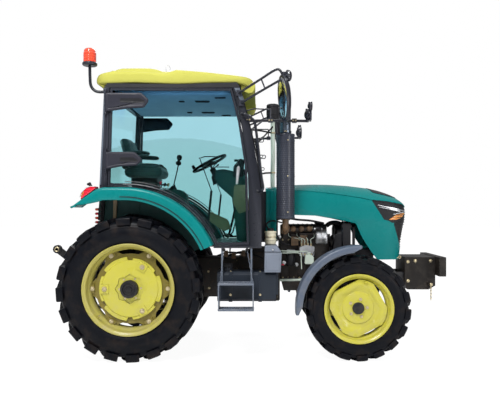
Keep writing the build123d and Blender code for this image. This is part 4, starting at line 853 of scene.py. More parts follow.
# ---- Lines read along X -------------------------------------------------------------------------
def line_at(points, x):
    """The height of an open outline at x, by straight steps between its points."""
    for (x0, z0), (x1, z1) in zip(points, points[1:]):
        if x <= x1:
            return z0 + (z1 - z0) * max(0.0, min(1.0, (x - x0) / (x1 - x0)))
    return points[-1][1]


def fade(value, low, high):
    """0 below low, 1 above high, and a smooth rise between."""
    t = max(0.0, min(1.0, (value - low) / (high - low)))
    return t * t * (3 - 2 * t)


def score(bm, outline, margin=60):
    """Cuts the mesh along a side outline, so that faces are wholly in or out of it."""
    for (x0, z0), (x1, z1) in zip(outline, [*outline[1:], outline[0]]):
        a, b = at(x0, 0, z0), at(x1, 0, z1)
        edge = b - a
        normal = Vector((-edge.z, 0, edge.x)).normalized()
        reach = margin * MM
        near = []
        for f in bm.faces:
            c = f.calc_center_median()
            t = (c - a).dot(edge) / edge.length_squared
            if -reach / edge.length < t < 1 + reach / edge.length and abs((c - a).dot(normal)) < reach:
                near.append(f)
        geom = list({v for f in near for v in f.verts}) + list({e for f in near for e in f.edges}) + near
        bmesh.ops.bisect_plane(bm, geom=geom, dist=1e-6, plane_co=a, plane_no=normal)


def within(outline, x, z):
    """Whether a side place in mm lies in an outline."""
    inside = False
    for (x0, z0), (x1, z1) in zip(outline, [*outline[1:], outline[0]]):
        if (z0 > z) != (z1 > z) and x < x0 + (z - z0) * (x1 - x0) / (z1 - z0):
            inside = not inside
    return inside


def lifted(piece, outline, name, body, *finishes, sink=0.0):
    """Moves the faces within a side outline into a new piece, sunk along their normals."""
    score(piece.bm, outline)
    piece.bm.normal_update()
    chosen = []
    for f in piece.bm.faces:
        c = f.calc_center_median()
        if within(outline, (c.x - AXLE_X) / MM, c.z / MM):
            chosen.append(f)
    taken = Piece(name, body, *finishes)
    spots = {}
    for f in chosen:
        for v in f.verts:
            if v not in spots:
                spots[v] = taken.bm.verts.new(v.co - v.normal * sink * MM)
        taken.face([spots[v] for v in f.verts])
    bmesh.ops.delete(piece.bm, geom=chosen, context="FACES")
    return taken


# ---- Hood ---------------------------------------------------------------------------------------
HOOD_REAR = 1402
HOOD_SPINE = ((1290, 1668), (1402, 1676), (1603, 1697), (1800, 1702), (1952, 1700), (2150, 1688), (2329, 1666),
              (2474, 1638), (2560, 1612))
HOOD_SEAM = ((1290, 1636), (1402, 1636), (1700, 1626), (1948, 1602), (2245, 1559), (2356, 1536), (2543, 1518),
             (2705, 1491), (2756, 1460), (2790, 1448))
HOOD_SILL = ((1290, 1371), (1402, 1373), (1591, 1379), (1827, 1371), (2028, 1336), (2214, 1293), (2282, 1144),
             (2376, 1000), (2443, 919), (2800, 919))
HOOD_FOLD = ((1402, 1500), (1607, 1461), (2179, 1262), (2214, 1300), (2300, 1160), (2443, 930), (2800, 925))
HOOD_BROW = ((1402, 1500), (1750, 1440), (1944, 1398), (2223, 1324), (2376, 1330), (2500, 1300), (2800, 1300))
LAMP = ((2369, 1540), (2543, 1519), (2705, 1492), (2800, 1452), (2800, 1285), (2705, 1280), (2594, 1297), (2543, 1322),
        (2505, 1330))
CHIN = ((2606, 1290), (2705, 1275), (2800, 1280), (2800, 1046), (2718, 1050), (2683, 1063))
VENT = ((2300, 1760), (2352, 1676), (2403, 1611), (2664, 1551), (2700, 1580), (2600, 1760))
TIP = ((919, 2719), (1007, 2729), (1167, 2750), (1312, 2772), (1421, 2779), (1455, 2776), (1530, 2760))


def hood_half(x):
    """Half the hood's width at the shoulder, before the nose's corner."""
    return line_at(((1290, 330), (1700, 328), (2200, 312), (2540, 296)), x)


def hood_plan():
    """Right-hand plan line of the hood, from the rear along the side and round to the middle of the nose."""
    xs = [1402, 1420, *range(1450, 2200, 30), 2207, 2221, *range(2240, 2441, 20), 2450, *range(2465, 2541, 25)]
    side = [(x, hood_half(x)) for x in xs]
    bend = smooth_line([(2540, 296, 0), (2620, 284, 0), (2690, 256, 0), (2738, 208, 0), (2764, 140, 0),
                        (2776, 66, 0), (2779, 0, 0)], 5)
    return side + [(p.x, p.y) for p in bend[1:]]


def hood_spot(x, half, z):
    """A point of the hood's side skin from its plan line and a height."""
    tip = line_at(TIP, z)
    lean = fade(x, 2380, 2700)
    ahead = x - (2779 - tip) * lean
    fold, brow, seam = line_at(HOOD_FOLD, x), line_at(HOOD_BROW, x), line_at(HOOD_SEAM, x)
    inward = 9 * fade(z, seam - 70, seam) + 5 * fade(1500 - z, 0, 300)
    inward += max(0.0, fold - z) * 0.20 * fade(x, 1600, 1720) * (1 - fade(x, 2200, 2330))
    inward += min(60.0, max(0.0, brow - z)) * 0.24 * fade(x, 1800, 2080)
    shrink = 1 - inward / 300
    return at(ahead - (x > 2540) * inward * (1 - half / 300), -half * shrink, z)


def make_hood():
    plan = hood_plan()
    side = Piece("hood_side", "hood", "teal_paint")
    columns = []
    for x, half in plan:
        seam, brow, fold, sill = (line_at(l, x) for l in (HOOD_SEAM, HOOD_BROW, HOOD_FOLD, HOOD_SILL))
        fold = max(fold, sill + 4)
        brow = max(brow, fold + 6)
        top = seam - 4
        levels = [top, top - 12, top - 30, top - 60, *(brow + (top - 60 - brow) * t for t in (0.75, 0.5, 0.25)),
                  brow + 3, brow - 3, brow + (fold - brow) * 0.5, fold + 2, fold - 2]
        levels += [fold - 2 + (sill - fold + 2) * t for t in (0.15, 0.3, 0.45, 0.6, 0.75, 0.9, 1.0)]
        columns.append([hood_spot(x, half, z) for z in levels])
    other = [[Vector((p.x, -p.y, p.z)) for p in c] for c in columns[-2::-1]]
    side.loft(columns + other, closed=False)
    bmesh.ops.remove_doubles(side.bm, verts=side.bm.verts, dist=0.00005)

    top = Piece("hood_top", "hood", "teal_paint")
    rows = []
    for i, (x, half) in enumerate(plan):
        nose = fade(x, 2300, 2779)
        wrap = max(0.0, (x - 2300) / 479)
        spine = x if x < 2300 else 2300 + 250 * (wrap if half > 0.5 else 1.0)
        edge = hood_spot(x, half, line_at(HOOD_SEAM, x) - 4)
        inset = [0.0, 0.006, 0.02, 0.045, 0.09, 0.16, 0.26, 0.38, 0.52, 0.68, 0.84, 1.0]
        seam, crown = line_at(HOOD_SEAM, x) + 3, line_at(HOOD_SPINE, spine)
        row = []
        for t in inset:
            swell = 1 - (1 - t) ** 3.2
            swell += (t ** 0.62 - swell) * nose
            place = Vector((edge.x + (at(spine, 0, 0).x - edge.x) * t, edge.y * (1 - t), (seam + (crown - seam) * swell) * MM))
            row.append(place)
        rows.append(row + [Vector((p.x, -p.y, p.z)) for p in row[-2::-1]])
    top.loft(rows, closed=False)
    bmesh.ops.remove_doubles(top.bm, verts=top.bm.verts, dist=0.0004)

    lamp = lifted(side, LAMP, "hood_lamps", "hood", "black_plastic", sink=7)
    chin = lifted(side, CHIN, "hood_grille", "hood", "black_plastic", sink=9)
    vent = lifted(top, VENT, "hood_vent", "hood", "black_plastic", sink=5)
    side.done("teal_paint", sharp=24, thick=10, replaces=("hood", "grille"), outward=(0, -1, 0))
    top.done("teal_paint", sharp=30, thick=10, outward=(0, 0, 1))
    lamp.done("black_plastic", thick=3, outward=(0, -1, 0))
    chin.done("black_plastic", thick=3, outward=(0, -1, 0))
    vent.done("black_plastic", thick=3, outward=(0, 0, 1))
    make_hood_details(plan)


def on_nose(plan, x, z, out=0.0):
    """A place on the hood's right skin, out mm proud of it, from a side place."""
    seek = x
    for _ in range(6):
        half = line_at(plan, seek)
        place = hood_spot(seek, half, z)
        seek = min(2779.0, seek + x - (place.x - AXLE_X) / MM)
    outward = Vector((place.x - at(2350, 0, 0).x, place.y, 0)).normalized() if x > 2500 else Vector((0, -1, 0))
    return place + outward * out * MM


def patch(piece, plan, low_line, high_line, out, steps=14, both=True):
    """A curved plate on the hood's skin between two side lines."""
    x0, x1 = low_line[0][0], low_line[-1][0]
    for side in ((1, -1) if both else (1,)):
        rows = []
        for k in range(steps + 1):
            x = x0 + (x1 - x0) * k / steps
            low, high = line_at(low_line, x), line_at(high_line, x)
            row = []
            for depth, z in ((out - 6, low), (out, low), (out, (low + high) / 2), (out, high), (out - 6, high)):
                p = on_nose(plan, x, z, depth)
                row.append(Vector((p.x, p.y * side, p.z)))
            rows.append(row)
        piece.loft(rows)


def make_hood_details(plan):
    lamps = Piece("headlamps", "hood", "silver", "amber_lens", "black_plastic")
    patch(lamps, plan, ((2440, 1478), (2610, 1438), (2742, 1412)), ((2440, 1484), (2610, 1452), (2742, 1424)), -2)
    patch(lamps, plan, ((2452, 1458), (2600, 1428), (2680, 1410)), ((2452, 1462), (2600, 1438), (2680, 1422)), -2)
    patch(lamps, plan, ((2600, 1384), (2690, 1398), (2746, 1404)), ((2600, 1386), (2690, 1408), (2746, 1413)), -2)
    lamps.use = 1
    patch(lamps, plan, ((2566, 1328), (2640, 1330), (2700, 1352), (2735, 1392)),
          ((2566, 1334), (2640, 1382), (2700, 1394), (2735, 1402)), -3)
    lamps.use = 2
    patch(lamps, plan, ((2392, 1526), (2543, 1506), (2752, 1468)), ((2392, 1534), (2543, 1515), (2752, 1480)), -1)
    lamps.done("black_plastic", sharp=30)
    slats = Piece("grille_slats", "hood", "black_plastic", "teal_paint")
    front = [(x, half) for x, half in plan if x > 2645]
    for z in range(1070, 1440, 26):
        line = []
        for x, half in front:
            p = hood_spot(x, half, z)
            line.append(p)
        line += [Vector((p.x, -p.y, p.z)) for p in line[-2::-1]]
        rows = []
        for p in line:
            out = Vector((p.x - at(2350, 0, 0).x, p.y, 0)).normalized()
            rows.append([p + out * a * MM + Vector((0, 0, b * MM)) for a, b in ((-9, -3), (-3, -5), (-2, 1), (-9, 4))])
        slats.loft(rows)
    slats.done("black_plastic")
    latch = Piece("hood_latch", "hood", "zinc")
    for side in (1, -1):
        p = on_nose(plan, 2660, 935, 4)
        x, y, z = (p.x - AXLE_X) / MM, p.y / MM * side, p.z / MM
        latch.rod((x, y, z), (x - 45, y, z - 18), 6, 10)
        latch.lathe((x + 18, y, z + 5), (0, -side, 0), ((0, 16), (9, 16), (9, 8), (0, 8)), 20)
    latch.done("silver")


def make_cowl():
    cowl = Piece("cowl_shell", "chassis", "teal_paint")
    rows = []
    for x, pinch in ((1290, 0), (1306, 0), (1322, 4), (1340, 10), (1362, 5), (1380, 0), (1396, 0)):
        crown = line_at(HOOD_SPINE, x) - 3
        half = 329 - pinch
        right = [(half - 4, 1100), (half, 1290), (half, 1500), (half - 4, 1612), (half - 14, 1640), (half - 40, crown - 14),
                 (half - 110, crown - 3), (0, crown)]
        line = [Vector((-y, z, 0)) for y, z in right]
        line = smooth_line(line, 3)
        points = [(p.x, p.y) for p in line] + [(-p.x, p.y) for p in line[-2::-1]]
        rows.append([at(x, y, z) for y, z in points])
    cowl.loft(rows, closed=False)
    cowl.face([v for v in cowl.bm.verts[:len(rows[0])]])
    cowl.done("teal_paint", sharp=30, thick=5, outward=(0, 0, 1), replaces=("cowl",))
    gap = Piece("cowl_seal", "chassis", "black_plastic")
    gap.prism([(-316, 1110), (-316, 1625), (-285, 1652), (285, 1652), (316, 1625), (316, 1110), (300, 1110), (300, 1612),
               (270, 1636), (-270, 1636), (-300, 1612), (-300, 1110)], 1385, 1412, "x")
    gap.done("teal_paint")
    ears = Piece("hood_hinge", "chassis", "black_paint")
    for side in (-1, 1):
        ears.prism([(1390, 1606), (1390, 1644), (1408, 1668), (1420, 1668), (1424, 1640), (1418, 1606)],
                   *sorted((side * 183, side * 193)))
        ears.rod((1414, side * 180, 1656), (1414, side * 224, 1656), 5, 12)
    ears.soften(1)
    ears.done("teal_paint")


# ---- Roof ---------------------------------------------------------------------------------------
ROOF_TOP = ((-367, 2700), (-358, 2735), (-330, 2752), (-215, 2768), (-175, 2812), (-130, 2827), (0, 2830), (140, 2830),
            (215, 2818), (270, 2796), (420, 2786), (700, 2764), (1000, 2730), (1120, 2716), (1160, 2694), (1178, 2650))
ROOF_UNDER = ((-367, 2680), (-350, 2650), (-205, 2640), (0, 2652), (300, 2640), (464, 2634), (700, 2646), (990, 2650),
              (1100, 2626), (1178, 2600))


def make_roof():
    roof = Piece("roof_shell", "chassis", "roof_yellow")
    stations = [-367, -364, -356, -340, -315, -280, -240, -215, -195, -175, -152, -125, -90, -40, 40, 140, 180, 215, 245,
                270, 320, 420, 560, 700, 850, 1000, 1060, 1100, 1130, 1152, 1168, 1176, 1179]
    share = (0.0, 0.10, 0.2, 0.34, 0.5, 0.68, 0.84, 1.0)
    rows = []
    for x in stations:
        near = min((x + 367) / 190, (1179 - x) / 210, 1.0)
        half = 560 + 140 * sqrt(max(0.0, 1 - (1 - near) ** 2.4))
        top, under = line_at(ROOF_TOP, x), line_at(ROOF_UNDER, x)
        middle = under + (top - under) * 0.42
        hump = max(0.0, top - (2768 - 0.045 * x)) * (1 if x < 330 else 0)
        shoulder = top - hump
        right = [(0, top + 2), (0.50 * half, top + 1), (0.74 * half, top - 0.04 * hump), (0.82 * half, top - 0.35 * hump),
                 (0.88 * half, shoulder + 0.04 * hump), (0.92 * half, shoulder - 2), (0.965 * half, shoulder - 14),
                 (0.995 * half, shoulder - 34), (half, middle), (0.992 * half, under + 10), (0.965 * half, under),
                 (0.90 * half, under), (0.5 * half, under + 4), (0, under + 4)]
        line = smooth_line([(y, z, 0) for y, z in right], 3)
        ring = [at(x, -p.x, p.y) for p in line] + [at(x, p.x, p.y) for p in line[-2:0:-1]]
        rows.append(ring)
    roof.loft(rows)
    roof.done("roof_yellow", sharp=50, replaces=("cab_roof",))
    liner = Piece("roof_corners", "chassis", "roof_yellow", "black_plastic")
    for side in (-1, 1):
        liner.prism(rounded([(1040, 2600), (1060, 2660), (1170, 2668), (1186, 2640), (1160, 2566), (1108, 2560)], 26),
                    *sorted((side * 400, side * 640)))
        liner.prism(rounded([(-340, 2660), (-180, 2660), (-195, 2600), (-262, 2596)], 20), *sorted((side * 430, side * 640)))
    liner.soften(8, 3)
    liner.done("roof_yellow", sharp=40)
    drip = Piece("drip_rail", "chassis", "black_paint", "silver")
    for side in (-1, 1):
        drip.prism([(-262, 2596), (-230, 2640), (464, 2632), (1010, 2648), (1040, 2600)], *sorted((side * 660, side * 712)))
    drip.prism([(-250, 2594), (-235, 2646), (1020, 2646), (1040, 2594)], -655, 655)
    drip.lathe((285, -300, 2776), (0, 0, 1), ((0, 62), (8, 60), (20, 46), (24, 20), (24, 0.5)), 28)
    drip.use = 1
    loop = [(285 + 22 * sin(a), -300, 2838 + 36 - 36 * cos(a) * (1.0 if cos(a) > 0 else 1.1)) for a in
            (0.35 + (tau - 0.7) * k / 22 for k in range(23))]
    drip.pipe(loop, 2.5, 8)
    drip.pipe([(285, -300, 2796), (287, -300, 2832)], 4, 8)
    drip.done("black_paint")


# ---- Shared forms -------------------------------------------------------------------------------
def softened(node, width, *finishes, body=None, segments=2, angle=25):
    """The solid of a CAD node with rounded edges, as a piece to add to."""
    source = nodes[node]
    piece = Piece(f"{node}_shell", body or source["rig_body"] if "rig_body" in source else body, *finishes)
    piece.bm.from_mesh(source.data)
    piece.bm.transform(source.matrix_world)
    for f in piece.bm.faces:
        f.material_index = 0
    bmesh.ops.remove_doubles(piece.bm, verts=piece.bm.verts, dist=0.00002)
    bmesh.ops.dissolve_limit(piece.bm, angle_limit=radians(1.5), verts=piece.bm.verts, edges=piece.bm.edges)
    piece.soften(width, segments, angle)
    for f in piece.bm.faces:
        f.smooth = True
    return piece


def shrunk(outline, amount):
    """A closed outline moved in along its corners' bisectors."""
    area = sum(a[0] * b[1] - b[0] * a[1] for a, b in zip(outline, [*outline[1:], outline[0]]))
    turn = 1 if area > 0 else -1
    line = []
    for i, here in enumerate(outline):
        before, after = outline[i - 1], outline[(i + 1) % len(outline)]
        a = Vector((here[0] - before[0], here[1] - before[1])).normalized()
        b = Vector((after[0] - here[0], after[1] - here[1])).normalized()
        normal = Vector((-a.y - b.y, a.x + b.x)) * turn
        if normal.length < 1e-6:
            normal = Vector((-a.y, a.x)) * turn
        normal.normalize()
        share = max(0.5, abs(normal.dot(Vector((-a.y, a.x)))))
        line.append((here[0] + normal.x * amount / share, here[1] + normal.y * amount / share))
    return line


def plaque(piece, outline, steps, axis="y"):
    """A plate whose face steps in and out: steps are (inset, place along the axis)."""
    rings = []
    for inset, place in steps:
        spots = shrunk(outline, inset) if inset else outline
        rings.append([{"y": at(a, place, b), "x": at(place, a, b), "z": at(a, b, place)}[axis] for a, b in spots])
    piece.loft(rings)


def arc(centre, radius, start, end, steps=24):
    """Side places along an arc, in degrees."""
    angles = [radians(start + (end - start) * k / steps) for k in range(steps + 1)]
    return [(centre[0] + radius * cos(a), centre[1] + radius * sin(a)) for a in angles]


def cushion(name, body, centre, along, across, half_long, half_wide, thick, crown, channels=(),
            square=0.22, finish="seat_fabric", replaces=()):
    """A stuffed pad: crowned on top, pulled in between its corners, with sewn channels and piping."""
    along, across = Vector(along).normalized(), Vector(across).normalized()
    up = along.cross(across)
    pad = Piece(name, body, finish, "black_plastic")
    count = 22
    shares = [sin(pi / 2 * (2 * i / count - 1)) for i in range(count + 1)]

    def spot(u, v, top):
        pull_u = 1 - 0.035 * (1 - v ** 4) * abs(u) ** 3
        pull_v = 1 - 0.035 * (1 - u ** 4) * abs(v) ** 3
        a = u * sqrt(1 - square * v * v) * half_long * pull_u
        b = v * sqrt(1 - square * u * u) * half_wide * pull_v
        rim = max(abs(u), abs(v))
        side = (1 - rim ** 7) ** 0.45
        height = thick / 2 * side
        if top:
            height += crown * (1 - u * u) * (1 - v * v)
            for place, direction in channels:
                off = (u if direction == "across" else v) - place
                height -= 7 * (2.7 ** (-(off / 0.035) ** 2)) * side
        else:
            height = -height
        return Vector(centre) * 1.0 + along * a + across * b + up * height

    for top in (True, False):
        rows = []
        for u in shares:
            rows.append([at(*spot(u, v, top)) for v in shares])
        pad.loft(rows, closed=False)
    pad.use = 1
    border = [(u, -1.0) for u in shares[:-1]] + [(1.0, v) for v in shares[:-1]]
    border += [(-u, 1.0) for u in shares[:-1]] + [(-1.0, -v) for v in shares[:-1]]
    line = [tuple(spot(u, v, True)) for u, v in border]
    pad.pipe([*line, line[0]], 3.2, 6, caps=False)
    made = pad.done(finish, sharp=60, replaces=replaces)
    return made


# ---- Cab ----------------------------------------------------------------------------------------
FENDER_MIDDLE, FENDER_RADIUS = (-40, 735), 905
DOOR_LINE = [(-222, 1662), (-196, 2588), (962, 2588), (1039, 2287), (1105, 1859), (1124, 1100)]
HINGE_COVERS = ((1809, 1989, 102), (2358, 2548, 168))


def make_cab():
    shell = softened("cab_frame", 3, "frame_black", body="chassis")
    for side in (-1, 1):
        shell.pipe([(-268, side * 726, 1650), (-240, side * 726, 2110), (-224, side * 726, 2590)], 5, 8)
    shell.done("black_paint", replaces=("cab_frame",))

    pillar = Piece("pillar_trim", "chassis", "slate_paint", "frame_black")
    for side in (-1, 1):
        across = sorted((side * 722, side * 731))
        plaque(pillar, [(-296, 1668), (-282, 1668), (-238, 2585), (-253, 2585)],
               [(0, across[0]), (0, across[0] + 4.5), (0, across[1])])
        plaque(pillar, [(985, 2590), (1036, 2590), (1080, 2470), (1052, 2448)],
               [(3, across[0] - 1), (0, across[0]), (0, across[1]), (3, across[1] + 1)])
        pillar.use = 1
        for low, high, end in HINGE_COVERS:
            pillar.rod((-238, side * 742, low - 24), (-238, side * 742, high + 24), 9.5, 12)
        pillar.use = 0
    pillar.done("slate_paint")

    outline = [*arc(FENDER_MIDDLE, 927, 23.2, 90, 40), *DOOR_LINE[:2], (-180, 2590), *DOOR_LINE[2:]]
    door = Piece("door_frame_shell_right", "door_right", "frame_black")
    rings = []
    for inset, y in ((0, -700), (0, -724), (2, -726), (19, -726), (22, -723), (22, -700)):
        rings.append([at(x, y, z) for x, z in (shrunk(outline, inset) if inset else outline)])
    door.loft([*rings, rings[0]], caps=False)
    for low, high, end in HINGE_COVERS:
        door.box((-190, end - 60), (-732, -718), (low + 50, high - 50))
        door.rod((-238, -742, low), (-238, -742, high), 11, 14)
    # rubber seal along the arch
    seal = arc(FENDER_MIDDLE, FENDER_RADIUS + 34, 92, 28, 30)
    door.pipe([(x, -727, z) for x, z in seal], 8, 8)
    seal = arc(FENDER_MIDDLE, FENDER_RADIUS + 60, 91, 30, 30)
    door.pipe([(x, -725, z) for x, z in seal], 4, 8)
    pair(door.done("black_paint"), "door_frame_shell", "door", ("door_frame",))
    pane = Piece("door_pane_right", "door_right", "glass")
    plaque(pane, shrunk(outline, 17), [(0, -713), (0, -718), (1, -719)])
    pair(pane.done("glass"), "door_pane", "door", ("door_glass",))

    cover = Piece("hinge_covers_right", "door_right", "cover_slate", "black_plastic")
    for low, high, end in HINGE_COVERS:
        outline = rounded([(-236, low + 4), (-236, high - 8), (end - 62, high - 8), (end + 2, high - 68), (end + 2, high - 92),
                           (end - 40, low + 42), (end - 200, low + 34)], 14, 3)
        plaque(cover, outline, [(0, -735), (0, -752), (5, -758), (16, -760), (20, -757), (24, -756)])
        recess = rounded([(-96, high - 62), (end - 74, high - 62), (end - 26, high - 88), (end - 34, high - 104),
                          (-96, high - 98)], 7, 3)
        cover.use = 1
        plaque(cover, recess, [(0, -755), (0, -759), (7, -757.5)])
        cover.use = 0
    piece = cover.done("slate_paint", sharp=28)
    pair(piece, "hinge_covers", "door")

    handle = Piece("door_handle_right", "door_right", "black_plastic", "silver")
    plaque(handle, rounded([(968, 1745), (1068, 1745), (1080, 1905), (1040, 1925), (976, 1850)], 16, 3),
           [(0, -680), (0, -695), (8, -702), (12, -703)])
    handle.use = 1
    plaque(handle, rounded([(996, 1672), (1020, 1676), (1042, 1830), (1026, 1856), (1004, 1836)], 10, 3),
           [(0, -700), (0, -712), (5, -720)])
    handle.rod((1022, -716, 1828), (1022, -727, 1828), 9, 14)
    handle.use = 0
    handle.pipe([(652, -664, 1920), (706, -664, 1768), (762, -664, 1616)], 4.5, 8)
    handle.rod((762, -664, 1616), (732, -664, 1330), 11, 14)
    handle.pipe([(640, -664, 1926), (700, -664, 1944), (860, -664, 1944)], 5, 8)
    piece = handle.done("black_plastic")
    pair(piece, "door_handle", "door")

    glazing = Piece("windshield_trim", "chassis", "black_plastic", "silver")
    for side in (-1, 1):
        glazing.pipe([(x + 5, side * 668, z) for x, z in smooth_screen(1650, 2530)], 7, 8)
    glazing.pipe([(1063, 300, 2545), (1075, 250, 2500), (1145, 120, 2230)], 5, 8)
    glazing.pipe([(1150, -150, 2290), (1144, 110, 2250), (1118, 380, 2360)], 4, 8)
    glazing.done("black_plastic")


def smooth_screen(low, high, steps=12):
    """Side places up the windscreen's front face."""
    return [(line_at(((1607, 1240), (1780, 1222), (1960, 1191), (2130, 1153), (2345, 1100), (2560, 1045)), z), z)
            for z in (low + (high - low) * k / steps for k in range(steps + 1))]


def make_headliner():
    liner = Piece("headliner", "chassis", "liner_blue", "black_plastic")
    outline = rounded([(-185, -655), (965, -655), (975, 655), (-185, 655)], 60, 5)
    plaque(liner, outline, [(0, 2576), (0, 2556), (8, 2546), (26, 2541)], "z")
    liner.use = 1
    for x, y, length, width in ((430, -330, 60, 50), (640, -330, 150, 60), (835, -520, 110, 42), (835, 520, 110, 42),
                                (430, 330, 60, 50), (640, 330, 150, 60)):
        spots = rounded([(x - length / 2, y - width / 2), (x + length / 2, y - width / 2),
                         (x + length / 2, y + width / 2), (x - length / 2, y + width / 2)], 20, 4)
        plaque(liner, spots, [(0, 2543), (0, 2534), (5, 2531), (9, 2534)], "z")
        for k in range(3):
            z = y - width / 4 + k * width / 4
            liner.box((x - length / 2 + 12, x + length / 2 - 12), (z - 2, z + 2), (2530, 2535))
    liner.done("black_plastic")


# ---- Inside the cab -------------------------------------------------------------------------------
def make_seat():
    base = Piece("seat_base", "chassis", "black_plastic", "iron")
    plaque(base, rounded([(-110, -150), (130, -150), (130, 150), (-110, 150)], 30, 4),
           [(0, 1352), (0, 1372), (12, 1380), (14, 1400), (4, 1412), (16, 1430), (4, 1448), (16, 1466), (4, 1484),
            (16, 1502), (4, 1520), (16, 1538), (4, 1556), (16, 1574), (4, 1592), (16, 1610), (4, 1628), (16, 1646),
            (0, 1662), (-18, 1676), (-22, 1764)], "z")
    base.use = 1
    for side in (-1, 1):
        base.box((-120, 200), (side * 168 - 14, side * 168 + 14), (1700, 1716))
        base.pipe([(-150, side * 262, 1840), (-170, side * 268, 1920), (-150, side * 268, 1985)], 12, 8)
        base.rod((-166, side * 240, 1880), (-166, side * 276, 1880), 30, 20)
    base.done("seat_fabric", replaces=("seat",))
    across = (0, 1, 0)
    cushion("seat_cushion", "chassis", (12, 0, 1828), (1, 0, 0), across, 218, 248, 118, 6,
            ((-0.25, "across"), (0.3, "across"), (-0.52, "along"), (0.52, "along")))
    cushion("seat_back", "chassis", (-158, 0, 2026), (-0.30, 0, 1), (0, -1, 0), 172, 236, 96, 8,
            ((-0.3, "across"), (0.28, "across"), (-0.55, "along"), (0.55, "along")))
    for side in (-1, 1):
        cushion(f"seat_bolster_{'right' if side < 0 else 'left'}", "chassis", (20, side * 214, 1886), (1, 0, 0), across,
                170, 34, 50, 6)
        cushion(f"seat_arm_{'right' if side < 0 else 'left'}", "chassis", (-28, side * 266, 2016), (1, 0, -0.05), across,
                124, 27, 44, 5)


HUB, TILT = (684, 1932), radians(27.5)


def on_column(distance, radius=0.0, angle=0.0):
    """A place about the steering column: distance below the hub, radius and angle about it."""
    down = Vector((sin(TILT), 0, -cos(TILT)))
    side, fore = Vector((0, 1, 0)), Vector((cos(TILT), 0, sin(TILT)))
    return Vector((HUB[0], 0, HUB[1])) + down * distance + (side * cos(angle) + fore * sin(angle)) * radius


def make_steering():
    down = on_column(1) - on_column(0)
    wheel = Piece("steering_rim", "steering_wheel", "black_plastic", "silver")
    rings = []
    segments = 72
    for k in range(segments):
        angle = tau * k / segments
        ring = []
        for i in range(14):
            turn = tau * i / 14
            grip = 13.5 + (1.3 if i % 2 and 0.3 < (angle % (tau / 3)) < 1.7 else 0)
            ring.append(at(*on_column(grip * sin(turn), 190 + grip * cos(turn), angle)))
        rings.append(ring)
    rings.append(rings[0])
    wheel.loft(rings, caps=False)
    for k in range(3):
        angle = k * tau / 3 + pi / 2
        rows = []
        for r, drop, wide, deep in ((34, 4, 24, 7), (80, 10, 20, 6), (130, 12, 15, 5), (182, 3, 17, 6)):
            swing = wide / r
            rows.append([at(*on_column(drop - deep, r, angle - swing)), at(*on_column(drop - deep, r, angle + swing)),
                         at(*on_column(drop + deep, r, angle + swing)), at(*on_column(drop + deep, r, angle - swing))])
        wheel.loft(rows)
    wheel.lathe(on_column(24), -down, ((0, 34), (6, 46), (22, 50), (30, 46), (34, 34), (36, 1)), 40)
    wheel.rod(on_column(16), on_column(138), 12, 16)
    wheel.use = 1
    wheel.lathe(on_column(-11), -down, ((0, 30), (2, 30), (3, 27), (3.5, 1)), 32)
    wheel.use = 0
    wheel.rod(on_column(-4, 178, radians(250)), on_column(-58, 178, radians(250)), 17, 20, 8)
    wheel.done("black_plastic", sharp=40, replaces=("steering_wheel",))


